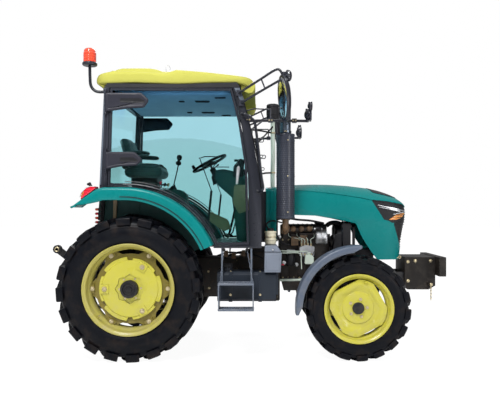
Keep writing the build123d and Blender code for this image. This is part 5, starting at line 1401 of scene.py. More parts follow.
def make_dash():
    dash = Piece("dash_console", "chassis", "dash_green_and_shaded_teal", "black_plastic", "tan_plastic", "silver")
    side = smooth_line([(766, 1846, 0), (860, 1856, 0), (1000, 1820, 0), (1092, 1786, 0)], 4)
    outline = [(p.x, p.y) for p in side] + [(1096, 1560), (1180, 1100), (990, 1092), (936, 1560), (790, 1690), (762, 1760)]
    dash.prism(outline, -186, 186)
    dash.soften(16, 3)
    dash.use = 1
    plaque(dash, rounded([(1800, -165), (1800, 165), (1700, 150), (1700, -150)], 16, 4),
           [(0, 790), (0, 776), (6, 770), (12, 776)], "x") if False else None
    dash.rod(on_column(60), on_column(205), 32, 24, 6)
    dash.lathe(on_column(130), on_column(131) - on_column(130), ((0, 40), (14, 52), (60, 62), (96, 74)), 28)
    for side in (-1, 1):
        dash.pipe([on_column(66, 30, pi / 2 - side * 1.2), on_column(52, 110, pi / 2 - side * 1.2),
                   on_column(46, 132, pi / 2 - side * 1.1)], 5, 8)
        dash.rod(on_column(46, 128, pi / 2 - side * 1.1), on_column(42, 160, pi / 2 - side * 1.05), 9, 12, 4)
    dash.use = 0
    dash.pipe([(1130, -210, 1946), (960, -208, 1946)], 12, 10)
    dash.use = 2
    dash.prism(rounded([(960, 1690), (1090, 1690), (1120, 1430), (1010, 1390), (950, 1500)], 22, 3), -236, -182)
    dash.prism(rounded([(700, 1420), (900, 1330), (930, 1240), (860, 1210), (690, 1330)], 20, 3), -300, -262)
    dash.use = 1
    for x, y, tilt in ((905, -80, 1), (905, 10, 1), (905, -190, 0), (930, 150, 0)):
        dash.pipe([(x + 70, y, 1500), (x + 36, y, 1330), (x, y, 1190), (x - 22, y, 1160)], 8, 8)
        dash.prism(rounded([(x - 56, 1166), (x - 8, 1136), (x + 2, 1150), (x - 46, 1182)], 5, 3), y - 36, y + 36)
    dash.use = 3
    for k in range(4):
        dash.lathe((770 + 6 * k, -96 + 64 * k, 1800 - 2 * k), (-1, 0, 0.35), ((0, 24), (4, 24), (5, 20), (3, 19), (3, 1)), 24)
    dash.done("black_plastic", sharp=35, replaces=("dashboard",))

    levers = Piece("lever_console", "chassis", "dash_green_and_shaded_teal", "black_plastic", "silver", "red_lens", "tan_plastic")
    outline = rounded([(150, 1352), (150, 1600), (200, 1638), (440, 1632), (500, 1580), (500, 1352)], 26, 4)
    levers.prism(outline, -468, -332)
    levers.soften(7, 3)
    levers.use = 1
    levers.lathe((352, -400, 1630), (0.2, 0, 1), ((0, 46), (10, 44), (18, 34), (30, 30), (38, 20), (46, 14), (60, 9)), 24)
    levers.pipe([(356, -400, 1668), (392, -400, 1820), (408, -400, 1896)], 6, 8)
    levers.lathe((404, -400, 1880), (0.15, 0, 1), ((0, 14), (8, 25), (22, 29), (36, 24), (46, 12), (52, 14), (62, 24),
                                                  (84, 27), (102, 20), (110, 1)), 26)
    for x, y, top, slot in ((215, -370, 1718, 3), (255, -370, 1706, 1), (300, -430, 1700, 4)):
        levers.use = 2
        levers.rod((x, y, 1630), (x + 8, y, top - 24), 5, 10)
        levers.use = slot
        levers.rod((x + 6, y, top - 34), (x + 10, y, top), 13, 16, 5)
    levers.done("black_plastic", sharp=35, replaces=("levers",))

    mat = Piece("floor_mat", "chassis", "black_plastic", "dash_green_and_shaded_teal")
    mat.prism(rounded([(582, -518), (1180, -655), (1180, 655), (582, 518)], 30, 3), 1091, 1098, "z")
    for k in range(11):
        mat.box((640 + 46 * k, 660 + 46 * k), (-460, 460), (1098, 1102))
    mat.use = 1
    mat.prism([(561, 1098), (561, 1346), (571, 1352), (586, 1344), (586, 1098)], -518, 518)
    for side in (-1, 1):
        wall = [(x, z - 20) for x, z in arc(FENDER_MIDDLE, FENDER_RADIUS - 10, 90, 30, 24)]
        rows = []
        for y in (side * 528, side * 560, side * 640, side * 676):
            rise = 10 if abs(y) > 650 else 0
            rows.append([at(x, y, z + rise + 16) for x, z in wall])
        mat.loft(rows, closed=False)
    mat.done("black_plastic", sharp=35)
    tub = softened("cab_tub", 3, "black_paint", body="chassis")
    tub.done("black_paint", replaces=("cab_tub",))


# ---- Fenders, lamps and pipes ---------------------------------------------------------------------
def make_rear_fenders():
    path = [(*p, radians(24 + 66 * k / 30)) for k, p in enumerate(arc(FENDER_MIDDLE, FENDER_RADIUS, 24, 90, 30))]
    path = [(x, z, Vector((cos(a), sin(a)))) for x, z, a in path]
    tail = Vector((-0.6, 0.8))
    for x, z, turn in ((-120, 1640, 0.0), (-220, 1639, 0.08), (-262, 1634, 0.35), (-300, 1619, 0.75), (-340, 1594, 0.95),
                       (-420, 1537, 1.0), (-490, 1485, 1.0), (-526, 1458, 1.0)):
        path.append((x, z, (Vector((0, 1)) * (1 - turn) + tail * turn).normalized()))
    shell = Piece("rear_fender_shell", "chassis", "teal_paint", "dash_green_and_shaded_teal", "black_plastic", "tan_plastic")
    rows = []
    for x, z, normal in path:
        depth = 112 * fade(x, -560, -300) + 6
        section = [(531, 0), (536, 3), (600, 3), (720, 3), (840, 2), (860, -1), (871, -7), (878, -17), (880, -30)]
        section += [(880, -30 - (depth - 30) * t) if depth > 32 else (880, -30 + (32 - depth) * t) for t in (0.4, 0.8)]
        section += [(876, -max(depth, 12) + 3), (870, -max(depth, 12))]
        scale = min(1.0, depth / 36)
        rows.append([at(x + normal.x * drop * scale, -y, z + normal.y * drop * scale) if depth < 36 else
                     at(x + normal.x * drop, -y, z + normal.y * drop) for y, drop in section])
    shell.loft(rows, closed=False)
    return shell


def make_fenders():
    shell = make_rear_fenders()
    outer = shell.done("teal_paint", sharp=40, thick=7, outward=(0, -1, 0), replaces=("rear_fenders",))
    mirrored(outer, "rear_fender_left", "chassis")
    # the walls and ribs take the dark green: painted shade standing in for the teal inner fender wall
    inner = Piece("wheel_house", "chassis", "dash_green_and_shaded_teal", "black_plastic", "tan_plastic")
    line = arc(FENDER_MIDDLE, FENDER_RADIUS - 10, 25, 90, 26)
    line += [(-285, 1628), (-350, 1588), (-370, 1334), (-302, 1302)]
    line += arc(FENDER_MIDDLE, FENDER_RADIUS - 248, 92, 25, 22)
    inner.prism(line, -532, -525)
    for angle in (34, 52, 70, 84):
        turn = radians(angle)
        low, high = FENDER_RADIUS - 236, FENDER_RADIUS - 14
        a = [(-40 + r * cos(turn) + s * sin(turn), 735 + r * sin(turn) - s * cos(turn))
             for r, s in ((low, -9), (high, -9), (high, 9), (low, 9))]
        inner.prism(a, -541, -531)
    for x in (-322, -200):
        inner.use = 2 if x == -200 else 1
        inner.prism(rounded([(x - 14, 1320), (x + 14, 1320), (x + 30, 1600), (x - 8, 1600)], 6, 2), -560, -530)
    inner.use = 1
    inner.pipe([(-330, -700, 1640), (-330, -700, 1560), (-300, -640, 1500), (-296, -560, 1440)], 8, 8)
    inner.pipe([(x, -885, z) for x, z in arc(FENDER_MIDDLE, FENDER_RADIUS - 88, 24, 92, 30)], 4, 6)
    for angle in (30, 55, 80):
        turn = radians(angle)
        inner.hexagon((-40 + 880 * cos(turn), -536, 735 + 880 * sin(turn)), (0, -1, 0), 9, 8)
    inner.mirror()
    inner.done("black_paint", sharp=35)

    lamps = softened("tail_lamps", 7, "red_lens", "chrome", "amber_lens", "black_plastic", body="chassis", segments=3)
    lamps.use = 1
    for side in (-1, 1):
        lamps.pipe([(-304, side * 871, 1648), (-342, side * 871, 1650), (-383, side * 871, 1634), (-426, side * 871, 1588),
                    (-438, side * 871, 1548)], 3, 6)
        lamps.use = 2
        lamps.prism([(-432, 1560), (-404, 1600), (-400, 1594), (-424, 1556)], *sorted((side * 852, side * 872)))
        lamps.use = 3
        lamps.rod((-352, side * 800, 1640), (-372, side * 800, 1676), 15, 16)
        lamps.rod((-372, side * 800, 1668), (-380, side * 800, 1684), 20, 16)
        lamps.use = 1
    lamps.done("red_lens", sharp=35, replaces=("tail_lamps",))


EXHAUST = (1484, -450)
GUARD = (95, 1344, 2186)


def make_exhaust():
    ex, ey = EXHAUST
    radius, low, high = GUARD
    guard = Piece("exhaust_guard", "chassis", "guard_slate", "black_plastic", "zinc")
    skin = radius - 4
    guard.lathe((ex, ey, low), (0, 0, 1), ((0, skin - 6), (0, skin), (6, skin + 3), (16, skin + 3), (20, skin),
                                          (high - low - 20, skin), (high - low - 16, skin + 3), (high - low - 6, skin + 3),
                                          (high - low, skin), (high - low, skin - 6), (20, skin - 6), (0, skin - 6)), 64,
                caps=False)
    columns, pitch = 26, 21
    rows = int((high - low - 70) / pitch)
    for k in range(rows):
        z = low + 38 + k * pitch
        for c in range(columns):
            mid = tau * (c + 0.5 * (k % 2)) / columns
            half = 0.26 * tau / columns
            # black flats under the louvre crests stand in for the openings: painted shade
            flat = [(ex + r * cos(a), ey + r * sin(a), h) for a, r, h in
                    ((mid - half, skin + 0.5, z - 4), (mid + half, skin + 0.5, z - 4), (mid + half, skin + 0.5, z + 2),
                     (mid - half, skin + 0.5, z + 2))]
            guard.use = 1
            guard.face([guard.bm.verts.new(at(*p)) for p in flat])
            guard.use = 0
            crest = [(mid - half, skin, z + 8), (mid + half, skin, z + 8), (mid + half, skin + 3.6, z + 1),
                     (mid - half, skin + 3.6, z + 1)]
            guard.face([guard.bm.verts.new(at(ex + r * cos(a), ey + r * sin(a), h)) for a, r, h in crest])
    for z in (low + 66, (low + high) / 2, high - 66):
        guard.lathe((ex, ey, z - 7), (0, 0, 1), ((0, skin + 0.6), (0, skin + 2.4), (14, skin + 2.4), (14, skin + 0.6)), 64,
                    caps=False)
        guard.use = 2
        guard.hexagon((ex + 0.2 * skin, ey - skin - 1, z), (0.2, -1, 0), 5, 4)
        guard.use = 0
    guard.done("slate_paint", sharp=30, replaces=("exhaust",), weld=0.001)

    pipe = Piece("exhaust_pipe", "chassis", "pipe_steel", "manifold", "zinc")
    segments = 48
    angles = [tau * k / segments for k in range(segments)]

    def ring(r, z, slant=0.0):
        return [at(ex + r * cos(a), ey + r * sin(a), z + slant * (cos(a) * r / 54)) for a in angles]
    pipe.loft([ring(36, low - 4), ring(56, low + 4), ring(56, high - 8), ring(50, high + 2), ring(51, high + 8),
               ring(53, high + 12), ring(53, 2300), ring(54, 2440), ring(54, 2480, 27), ring(49, 2480, 25),
               ring(49, 2400, 0), ring(48, high + 20)], caps=True)
    pipe.lathe((ex, ey, high + 12), (0, 0, 1), ((0, 54), (1, 59), (22, 59), (24, 54)), 40, caps=False)
    pipe.use = 2
    pipe.rod((ex - 16, ey - 66, high + 24), (ex + 16, ey - 66, high + 24), 5, 10)
    pipe.use = 1
    bend = smooth_line([(ex, ey, low + 6), (ex, ey, 1290), (ex, ey + 18, 1246), (ex, ey + 60, 1226), (ex, ey + 130, 1224),
                        (ex, -218, 1224)], 5)
    pipe.pipe([tuple(p) for p in bend], 33, 20)
    pipe.lathe((ex, -215, 1224), (0, -1, 0), ((0, 46), (12, 46), (14, 40), (14, 34)), 28, caps=False)
    pipe.lathe((ex, ey, low - 16), (0, 0, 1), ((0, 34), (0, 46), (12, 46), (12, 34)), 28, caps=False)
    pipe.done("slate_paint", sharp=35)


def make_intake():
    x, y = 1363, -180
    stack = Piece("air_stack", "chassis", "black_plastic", "pale_pipe", "zinc")
    stack.lathe((x, y, 2372), (0, 0, 1), ((0, 26), (4, 60), (10, 66), (36, 66), (38, 63), (44, 63), (46, 66), (120, 66),
                                         (122, 62), (128, 62), (130, 66), (152, 65), (162, 56), (166, 40), (167, 1)), 40)
    for k in range(18):
        turn = tau * k / 18
        stack.box((x + 64 * cos(turn) - 3, x + 64 * cos(turn) + 3), (y + 64 * sin(turn) - 3, y + 64 * sin(turn) + 3),
                  (2424, 2484))
    stack.use = 1
    line = smooth_line([(x, y, 1650), (x - 2, y, 1800), (x + 3, y, 2000), (x, y, 2200), (x, y, 2376)], 4)
    stack.pipe([tuple(p) for p in line], 23, 20)
    stack.use = 2
    for z in (1820, 2236, 2366):
        stack.lathe((x, y, z - 8), (0, 0, 1), ((0, 24), (0, 27), (16, 27), (16, 24)), 28, caps=False)
        stack.rod((x - 14, y - 30, z), (x + 14, y - 30, z), 4, 8)
    stack.use = 0
    stack.pipe([(x, y, 2236), (1250, y - 60, 2250), (1118, y - 130, 2256)], 9, 8)
    stack.pipe([(x, y, 1820), (1290, y - 40, 1815), (1216, y - 60, 1800)], 9, 8)
    stack.pipe([(x, y - 20, 2300), (1270, y - 80, 2190), (1160, y - 130, 2120)], 8, 8)
    stack.done("black_plastic", sharp=30, replaces=("air_intake",))


def rail(points, steps=4):
    return [tuple(p) for p in smooth_line(points, steps)]


def make_rails():
    rails = Piece("handrail_tubes", "chassis", "frame_black", "zinc")
    for side in (-1, 1):
        rails.pipe(rail([(1062, side * 716, 2338), (1066, side * 770, 2339), (1092, side * 790, 2330), (1150, side * 790, 2292),
                         (1182, side * 790, 2236), (1214, side * 790, 2000), (1240, side * 790, 1760), (1258, side * 790, 1648),
                         (1248, side * 786, 1616), (1214, side * 716, 1602)], 5), 12.5, 14)
        for a, b in (((1062, side * 714, 2338), (1062, side * 728, 2338)), ((1212, side * 714, 1601), (1212, side * 728, 1601))):
            rails.lathe(a, Vector(b) - Vector(a), ((0, 26), (8, 26), (10, 22), (14, 14)), 20)
        for z, x in ((2085, 1204), (1930, 1222)):
            rails.use = 0
            rails.pipe([(x, side * 790, z + 16), (x + 52, side * 790, z + 16), (x + 58, side * 790, z + 8),
                        (x + 58, side * 790, z - 8), (x + 52, side * 790, z - 16), (x, side * 790, z - 16)], 4.5, 8)
    rails.done("black_paint", sharp=35, replaces=("handrails",))

    mirrors = Piece("mirror_arms", "chassis", "frame_black", "mirror_glass", "zinc")
    for side in (-1, 1):
        mirrors.pipe(rail([(1024, side * 726, 2541), (1080, side * 800, 2560), (1230, side * 866, 2640), (1370, side * 926, 2714),
                           (1416, side * 944, 2700), (1440, side * 950, 2640)]), 11.5, 12)
        mirrors.pipe(rail([(1048, side * 726, 2444), (1110, side * 800, 2470), (1290, side * 880, 2560), (1440, side * 950, 2630)]),
                     11.5, 12)
        mirrors.pipe([(1240, side * 868, 2645), (1276, side * 874, 2552)], 7, 8)
        for x, z in ((1030, 2541), (1054, 2444)):
            mirrors.box((x - 26, x + 20), sorted((side * 722, side * 742)), (z - 26, z + 26))
        for x, y, z, wide, tall, deep in ((1430, 950, 2469, 98, 216, 58), (1472, 985, 2652, 45, 53, 37)):
            turns, swing = [tau * k / 40 for k in range(40)], radians(24)

            def oval(share, ahead):
                place = []
                for a in turns:
                    over = wide * share * cos(a)
                    ahead_of, out = ahead * cos(swing) + over * sin(swing), over * cos(swing) - ahead * sin(swing)
                    lean = tall * share * sin(a) * (1 - 0.10 * sin(a))
                    place.append(at(x + deep / 2 + ahead_of - deep / 2 * cos(swing) - 0.07 * lean, side * (y + out), z + lean))
                return place
            mirrors.use = 0
            mirrors.loft([oval(0.88, 3), oval(0.93, 0), oval(1.0, 2), oval(1.0, deep * 0.3), oval(0.95, deep * 0.6),
                          oval(0.8, deep * 0.85), oval(0.5, deep * 0.97), oval(0.2, deep)])
            mirrors.use = 1
            mirrors.loft([oval(0.87, 2), oval(0.85, 1), oval(0.4, 0.5)])
        mirrors.use = 0
        mirrors.rod((1446, side * 950, 2600), (1446, side * 950, 2690), 15, 16)
        mirrors.rod((1446, side * 950, 2652), (1486, side * 984, 2652), 9, 12)
    mirrors.done("black_paint", sharp=35, replaces=("mirrors",))

    lamps = Piece("work_lamp_heads", "chassis", "frame_black", "lamp_glass", "chrome", "zinc")
    for side in (-1, 1):
        lamps.pipe(rail([(1092, side * 700, 2290), (1140, side * 706, 2282), (1230, side * 690, 2286), (1400, side * 664, 2290),
                         (1700, side * 640, 2290)]), 13.5, 12)
        lamps.pipe([(1150, side * 704, 2200), (1250, side * 690, 2282)], 9, 8)
        lamps.pipe([(1100, side * 700, 2380), (1180, side * 694, 2400), (1330, side * 676, 2396)], 7, 8)
        lamps.pipe([(1330, side * 676, 2396), (1330, side * 676, 2292)], 7, 8)
        for x, y in ((1118, 702), (1330, 676), (1560, 652)):
            lamps.box((x - 22, x + 22), sorted((side * (y - 20), side * (y + 20))), (2270, 2310))
            lamps.use = 3
            for dx in (-12, 12):
                lamps.hexagon((x + dx, side * (y + 20), 2290), (0, side, 0), 6, 6)
            lamps.use = 0
        lamps.pipe([(1692, side * 636, 2290), (1712, side * 735, 2290), (1712, side * 735, 2400)], 9, 10)
        for x, y, z, r in ((1656, 640, 2350, 66), (1680, 735, 2418, 42)):
            deep = r + 2
            lamps.use = 0
            lamps.lathe((x, side * y, z), (1, 0, 0), ((0, 1), (1, r * 0.24), (deep * 0.12, r * 0.5), (deep * 0.34, r * 0.8),
                                                     (deep * 0.62, r * 0.96), (deep * 0.80, r), (deep * 0.95, r),
                                                     (deep, r * 0.95), (deep * 0.93, r * 0.9)), 36)
            for k in range(5):
                lamps.box((x + deep * 0.2, x + deep * 0.5), (side * y - 20 + 9 * k, side * y - 16 + 9 * k),
                          (z + r * 0.35, z + r * 0.86))
            lamps.use = 2
            lamps.lathe((x + deep * 0.9, side * y, z), (1, 0, 0), ((-14, 12), (-2, r * 0.86), (0, r * 0.88)), 32)
            lamps.use = 1
            lamps.lathe((x + deep * 0.9, side * y, z), (1, 0, 0), ((-1, r * 0.9), (5, r * 0.86), (8, r * 0.5), (9, 1)), 32)
            lamps.use = 0
            lamps.pipe([(x + r * 0.5, side * y - r * 0.98, z), (x + r * 0.5, side * y - r * 0.9, z - r * 0.95),
                        (x + r * 0.5, side * y, z - r * 1.05), (x + r * 0.5, side * y + r * 0.9, z - r * 0.95),
                        (x + r * 0.5, side * y + r * 0.98, z)], 4.5, 8)
    lamps.done("black_paint", sharp=32, replaces=("work_lamps",))

    beacon = Piece("beacon_lamp", "chassis", "frame_black", "orange_lens", "amber_lens")
    beacon.pipe(rail([(-228, -700, 2562), (-300, -700, 2558), (-352, -700, 2572), (-388, -700, 2620), (-396, -700, 2700),
                      (-398, -700, 2808)]), 14, 14)
    beacon.box((-262, -226), (-726, -680), (2540, 2584))
    beacon.lathe((-398, -700, 2806), (0, 0, 1), ((0, 20), (2, 62), (8, 69), (24, 70), (30, 66), (34, 62)), 40)
    beacon.use = 1
    ribs = []
    for k in range(13):
        ribs += [(30 + 9 * k, 60 if k < 11 else 56), (34 + 9 * k, 58.5 if k < 11 else 54)]
    beacon.lathe((-398, -700, 2806), (0, 0, 1), (*ribs, (152, 53), (162, 44), (169, 28), (172, 1)), 40)
    beacon.done("black_paint", sharp=50, replaces=("beacon",))


# ---- Engine and running gear ------------------------------------------------------------------------
def hose(piece, points, radius, steps=5, segments=10):
    piece.pipe(rail(points, steps), radius, segments)


def make_engine():
    block = softened("engine", 3, "iron", "manifold", "black_plastic", "silver", "zinc", "pale_pipe", "red_lens",
                     body="chassis")
    block.use = 1
    for x in (1490, 1575, 1660, 1745):
        block.pipe(rail([(x, -110, 1232), (x, -150, 1240), (x - 4, -172, 1228)], 3), 25, 14)
        block.lathe((x, -186, 1232), (0, -1, 0.15), ((0, 30), (14, 31), (22, 26), (26, 14), (27, 1)), 20)
        block.use = 4
        for dz in (-26, 26):
            block.hexagon((x + 30, -153, 1225 + dz), (0, -1, 0), 8, 8)
        block.use = 1
    block.prism(rounded([(1446, 1196), (1526, 1190), (1540, 1262), (1450, 1268)], 14, 3), -214, -168)
    block.box((1556, 1628), (-208, -150), (1060, 1150))
    block.box((1650, 1720), (-206, -150), (1062, 1168))
    block.use = 0
    block.box((1640, 1786), (-212, -150), (1172, 1188))
    for x in (1500, 1586, 1670, 1752):
        block.prism(rounded([(x - 30, 1118), (x + 30, 1118), (x + 26, 1176), (x - 26, 1176)], 8, 2), -168, -148)
    block.use = 2
    cover = rounded([(-104, 1262), (-110, 1246), (110, 1246), (104, 1262), (84, 1278), (-84, 1278)], 10, 3)
    block.prism(cover, 1462, 1926, "x")
    for k in range(9):
        x = 1490 + 50 * k
        block.prism(rounded([(-98, 1262), (98, 1262), (80, 1282), (-80, 1282)], 8, 2), x - 4, x + 4, "x")
    block.lathe((1850, 0, 1276), (0, 0, 1), ((0, 30), (10, 30), (12, 36), (22, 36), (24, 30), (24, 1)), 24)
    # oil filter, its head, the injection pump and its lines
    block.lathe((1550, -190, 842), (0, 0, 1), ((0, 20), (4, 42), (10, 48), (128, 48), (134, 44), (140, 40)), 32)
    for k in range(14):
        turn = tau * k / 14
        block.rod((1550 + 47 * cos(turn), -190 + 47 * sin(turn), 850), (1550 + 47 * cos(turn), -190 + 47 * sin(turn), 884), 3.5,
                  6)
    block.use = 3
    block.prism(rounded([(1506, 984), (1596, 984), (1600, 1012), (1512, 1018)], 8, 3), -226, -148)
    block.prism(rounded([(1640, 950), (1790, 950), (1796, 1050), (1700, 1066), (1640, 1040)], 12, 3), -232, -226)
    for k in range(4):
        x = 1660 + 34 * k
        block.use = 4
        block.rod((x, -206, 1052), (x, -206, 1082), 10, 12)
        block.hexagon((x, -233, 970), (0, -1, 0), 8, 8)
        block.use = 5
        top = 1500 + 85 * k
        block.pipe(rail([(x, -206, 1082), (x - 4, -214, 1124), (top + 40, -196, 1150), (top + 30, -150, 1200),
                         (top + 26, -100, 1256)], 4), 3.6, 8)
    # crank pulley, fan and belt
    block.use = 2
    block.lathe((1978, 0, 1060), (1, 0, 0), ((0, 60), (0, 86), (6, 86), (10, 74), (16, 74), (20, 86), (26, 86), (26, 50)), 40)
    for k in range(6):
        turn = tau * k / 6
        rows = []
        for r, wide, pitch in ((62, 26, 16), (110, 40, 13), (165, 50, 10), (212, 46, 8)):
            a, b = turn - wide / 2 / r, turn + wide / 2 / r
            rows.append([at(2026 - pitch, r * cos(a), 1060 + r * sin(a)), at(2026 + pitch, r * cos(b), 1060 + r * sin(b)),
                         at(2029 + pitch, r * cos(b), 1060 + r * sin(b)), at(2029 - pitch, r * cos(a), 1060 + r * sin(a))])
        block.loft(rows)
    low, high = (0, 1060, 82), (-262, 1147, 42)
    ring = []
    away = atan2(high[1] - low[1], high[0] - low[0])
    spread = math_acos((low[2] - high[2]) / hypot(high[0] - low[0], high[1] - low[1]))
    for k in range(25):
        turn = away + spread + (tau - 2 * spread) * k / 24
        ring.append((low[0] + low[2] * cos(turn), low[1] + low[2] * sin(turn)))
    for k in range(17):
        turn = away - spread + 2 * spread * k / 16
        ring.append((high[0] + high[2] * cos(turn), high[1] + high[2] * sin(turn)))
    rings = [[at(x, y + 4 * (y - 1e-9) / 1e9, z) for y, z in ring] for x in (1984, 1998)]
    inner = [[at(x, y * 0.985, 1060 + (z - 1060) * 0.965) for y, z in ring] for x in (1998, 1984)]
    block.loft([*rings, *inner, rings[0]], caps=False)
    # hoses, wires, a reservoir and a sensor
    hose(block, [(1940, -60, 1262), (1980, -80, 1290), (2040, -130, 1296), (2076, -170, 1280)], 24, 5, 14)
    hose(block, [(1930, -120, 800), (1980, -160, 830), (2030, -190, 900), (2074, -200, 930)], 26, 5, 14)
    hose(block, [(1780, -230, 1200), (1790, -290, 1236), (1830, -300, 1242), (1860, -260, 1230), (1900, -170, 1240)], 13)
    hose(block, [(1392, -300, 1180), (1430, -290, 1120), (1470, -240, 1080), (1540, -200, 1070)], 12)
    hose(block, [(1400, -330, 1330), (1480, -330, 1350), (1620, -240, 1330), (1760, -200, 1318), (1900, -140, 1290)], 11)
    hose(block, [(1440, -180, 700), (1560, -210, 720), (1700, -215, 700), (1850, -200, 730), (1940, -180, 760)], 10)
    for k, dip in enumerate((60, 90, 40, 110)):
        x = 1480 + 90 * k
        hose(block, [(x, -232, 990), (x + 30, -240, 940 - dip), (x + 80, -240, 930 - dip), (x + 130, -232, 1000)], 3.4, 6, 6)
    block.use = 5
    hose(block, [(1396, -250, 1012), (1480, -250, 1006), (1640, -250, 1002), (1720, -240, 1000)], 6)
    hose(block, [(1396, -252, 986), (1500, -252, 984), (1640, -252, 982), (1656, -250, 900), (1660, -250, 820)], 5)
    hose(block, [(1430, -215, 700), (1640, -220, 704), (1700, -225, 720), (1720, -225, 790)], 13, 5, 12)
    block.prism(rounded([(1690, 872), (1782, 872), (1786, 948), (1760, 966), (1700, 966)], 16, 4), -262, -196)
    block.lathe((1736, -230, 962), (0, 0, 1), ((0, 18), (12, 18), (14, 22), (26, 22), (28, 16), (28, 1)), 20)
    block.use = 3
    for x, z in ((1430, 1150), (1600, 1105), (1610, 860), (1480, 880)):
        block.rod((x, -152, z), (x, -196, z), 12, 14)
        block.hexagon((x, -196, z), (0, -1, 0), 14, 10)
    for x, z in ((1790, 1236), (1862, 1232)):
        block.rod((x - 9, -296 if x < 1800 else -262, z), (x + 9, -296 if x < 1800 else -262, z), 15, 14)
    block.use = 6
    block.rod((1452, -262, 866), (1478, -262, 866), 9, 10)
    block.use = 4
    for x in range(1470, 1940, 58):
        block.hexagon((x, -151, 716), (0, -1, 0), 8, 7)
        block.hexagon((x, -151, 1118), (0, -1, 0), 7, 6)
    block.done("iron", sharp=35, replaces=("engine",))

    alternator = Piece("alternator_case", "chassis", "silver", "black_plastic", "manifold")
    y, z = -262, 1147
    for start, profile in ((1801, ((0, 30), (4, 58), (12, 66), (52, 68), (56, 66))), (1861, ((0, 66), (4, 69), (44, 69), (54, 62),
                                                                                         (62, 44), (66, 30)))):
        alternator.lathe((start, y, z), (1, 0, 0), profile, 40)
    for k in range(18):
        turn = tau * k / 18
        alternator.rod((1812, y + 62 * cos(turn), z + 62 * sin(turn)), (1920, y + 62 * cos(turn), z + 62 * sin(turn)), 5.5, 6)
    alternator.use = 1
    alternator.lathe((1929, y, z), (1, 0, 0), ((0, 20), (2, 38), (6, 38), (10, 30), (14, 38), (21, 38), (21, 10)), 32)
    alternator.box((1796, 1812), (y - 30, y + 10), (z - 20, z + 22))
    alternator.use = 2
    alternator.lathe((1857, y, z), (1, 0, 0), ((0, 60), (0, 63), (6, 63), (6, 60)), 36, caps=False)
    alternator.use = 0
    alternator.prism(rounded([(1830, 1080), (1900, 1080), (1890, 1108), (1840, 1108)], 6, 2), -232, -150)
    alternator.done("silver", sharp=35, replaces=("alternator",))

    core = Piece("radiator_core", "chassis", "black_plastic", "pipe_steel", "silver")
    core.prism(rounded([(-265, 902), (265, 902), (265, 1300), (-265, 1300)], 16, 3), 2086, 2166, "x")
    core.prism(rounded([(-262, 1240), (262, 1240), (250, 1300), (-250, 1300)], 20, 4), 2076, 2178, "x")
    core.prism(rounded([(-262, 902), (262, 902), (262, 950), (-262, 950)], 14, 3), 2076, 2178, "x")
    core.box((2096, 2160), (-198, 198), (782, 906))
    core.use = 1
    for k in range(36):
        yy = -221 + 12.6 * k
        core.box((2080, 2086), (yy - 1.5, yy + 1.5), (952, 1238))
    core.use = 0
    rings = []
    for x, r in ((2076, 238), (2056, 232), (2040, 226), (2030, 226)):
        rings.append([at(x, r * cos(tau * k / 48), 1060 + r * sin(tau * k / 48)) for k in range(48)])
    core.loft([*rings, *[[p + Vector((0.003, 0, 0)) for p in r] for r in rings[::-1]]], caps=False)
    core.use = 2
    core.lathe((2120, -150, 1298), (0, 0, 1), ((0, 24), (10, 24), (12, 30), (26, 30), (26, 1)), 8)
    core.done("iron", sharp=35, replaces=("radiator",))

    box = softened("transmission", 8, "iron", "zinc", "black_plastic", "manifold", body="chassis", segments=3)
    for x, half, z0, z1 in ((204, 168, 524, 926), (1000, 168, 524, 926), (1150, 194, 486, 1024), (1424, 194, 486, 1024)):
        box.prism(rounded([(-half, z0), (half, z0), (half, z1), (-half, z1)], 30, 4), x - 12, x + 12, "x")
        box.use = 1
        for z in range(z0 + 40, z1, 84):
            box.hexagon((x - 12, -half - 1 + 14, z), (-1, 0, 0), 9, 8)
        box.use = 0
    for x in (420, 640, 860):
        box.prism(rounded([(x - 70, 600), (x + 70, 600), (x + 60, 800), (x - 60, 800)], 20, 3), -178, -164)
        box.use = 1
        for dx, dz in ((-56, 612), (56, 612), (-48, 786), (48, 786)):
            box.hexagon((x + dx, -178, dz), (0, -1, 0), 8, 7)
        box.use = 0
    box.use = 2
    hose(box, [(860, -180, 940), (980, -200, 980), (1100, -215, 1000), (1240, -225, 1010), (1400, -220, 990)], 12)
    hose(box, [(780, -170, 950), (900, -240, 990), (1040, -300, 985), (1200, -300, 960), (1300, -260, 900)], 9)
    hose(box, [(900, -185, 560), (1000, -215, 540), (1200, -215, 545), (1400, -205, 600)], 11)
    box.use = 3
    for x, z in ((880, 980), (960, 960), (1060, 985), (1130, 950)):
        box.prism(rounded([(x - 22, z - 28), (x + 22, z - 28), (x + 18, z + 30), (x - 18, z + 30)], 6, 2), -330, -240)
        box.rod((x, -332, z), (x, -352, z), 12, 12)
    box.done("iron", sharp=35, replaces=("transmission",))

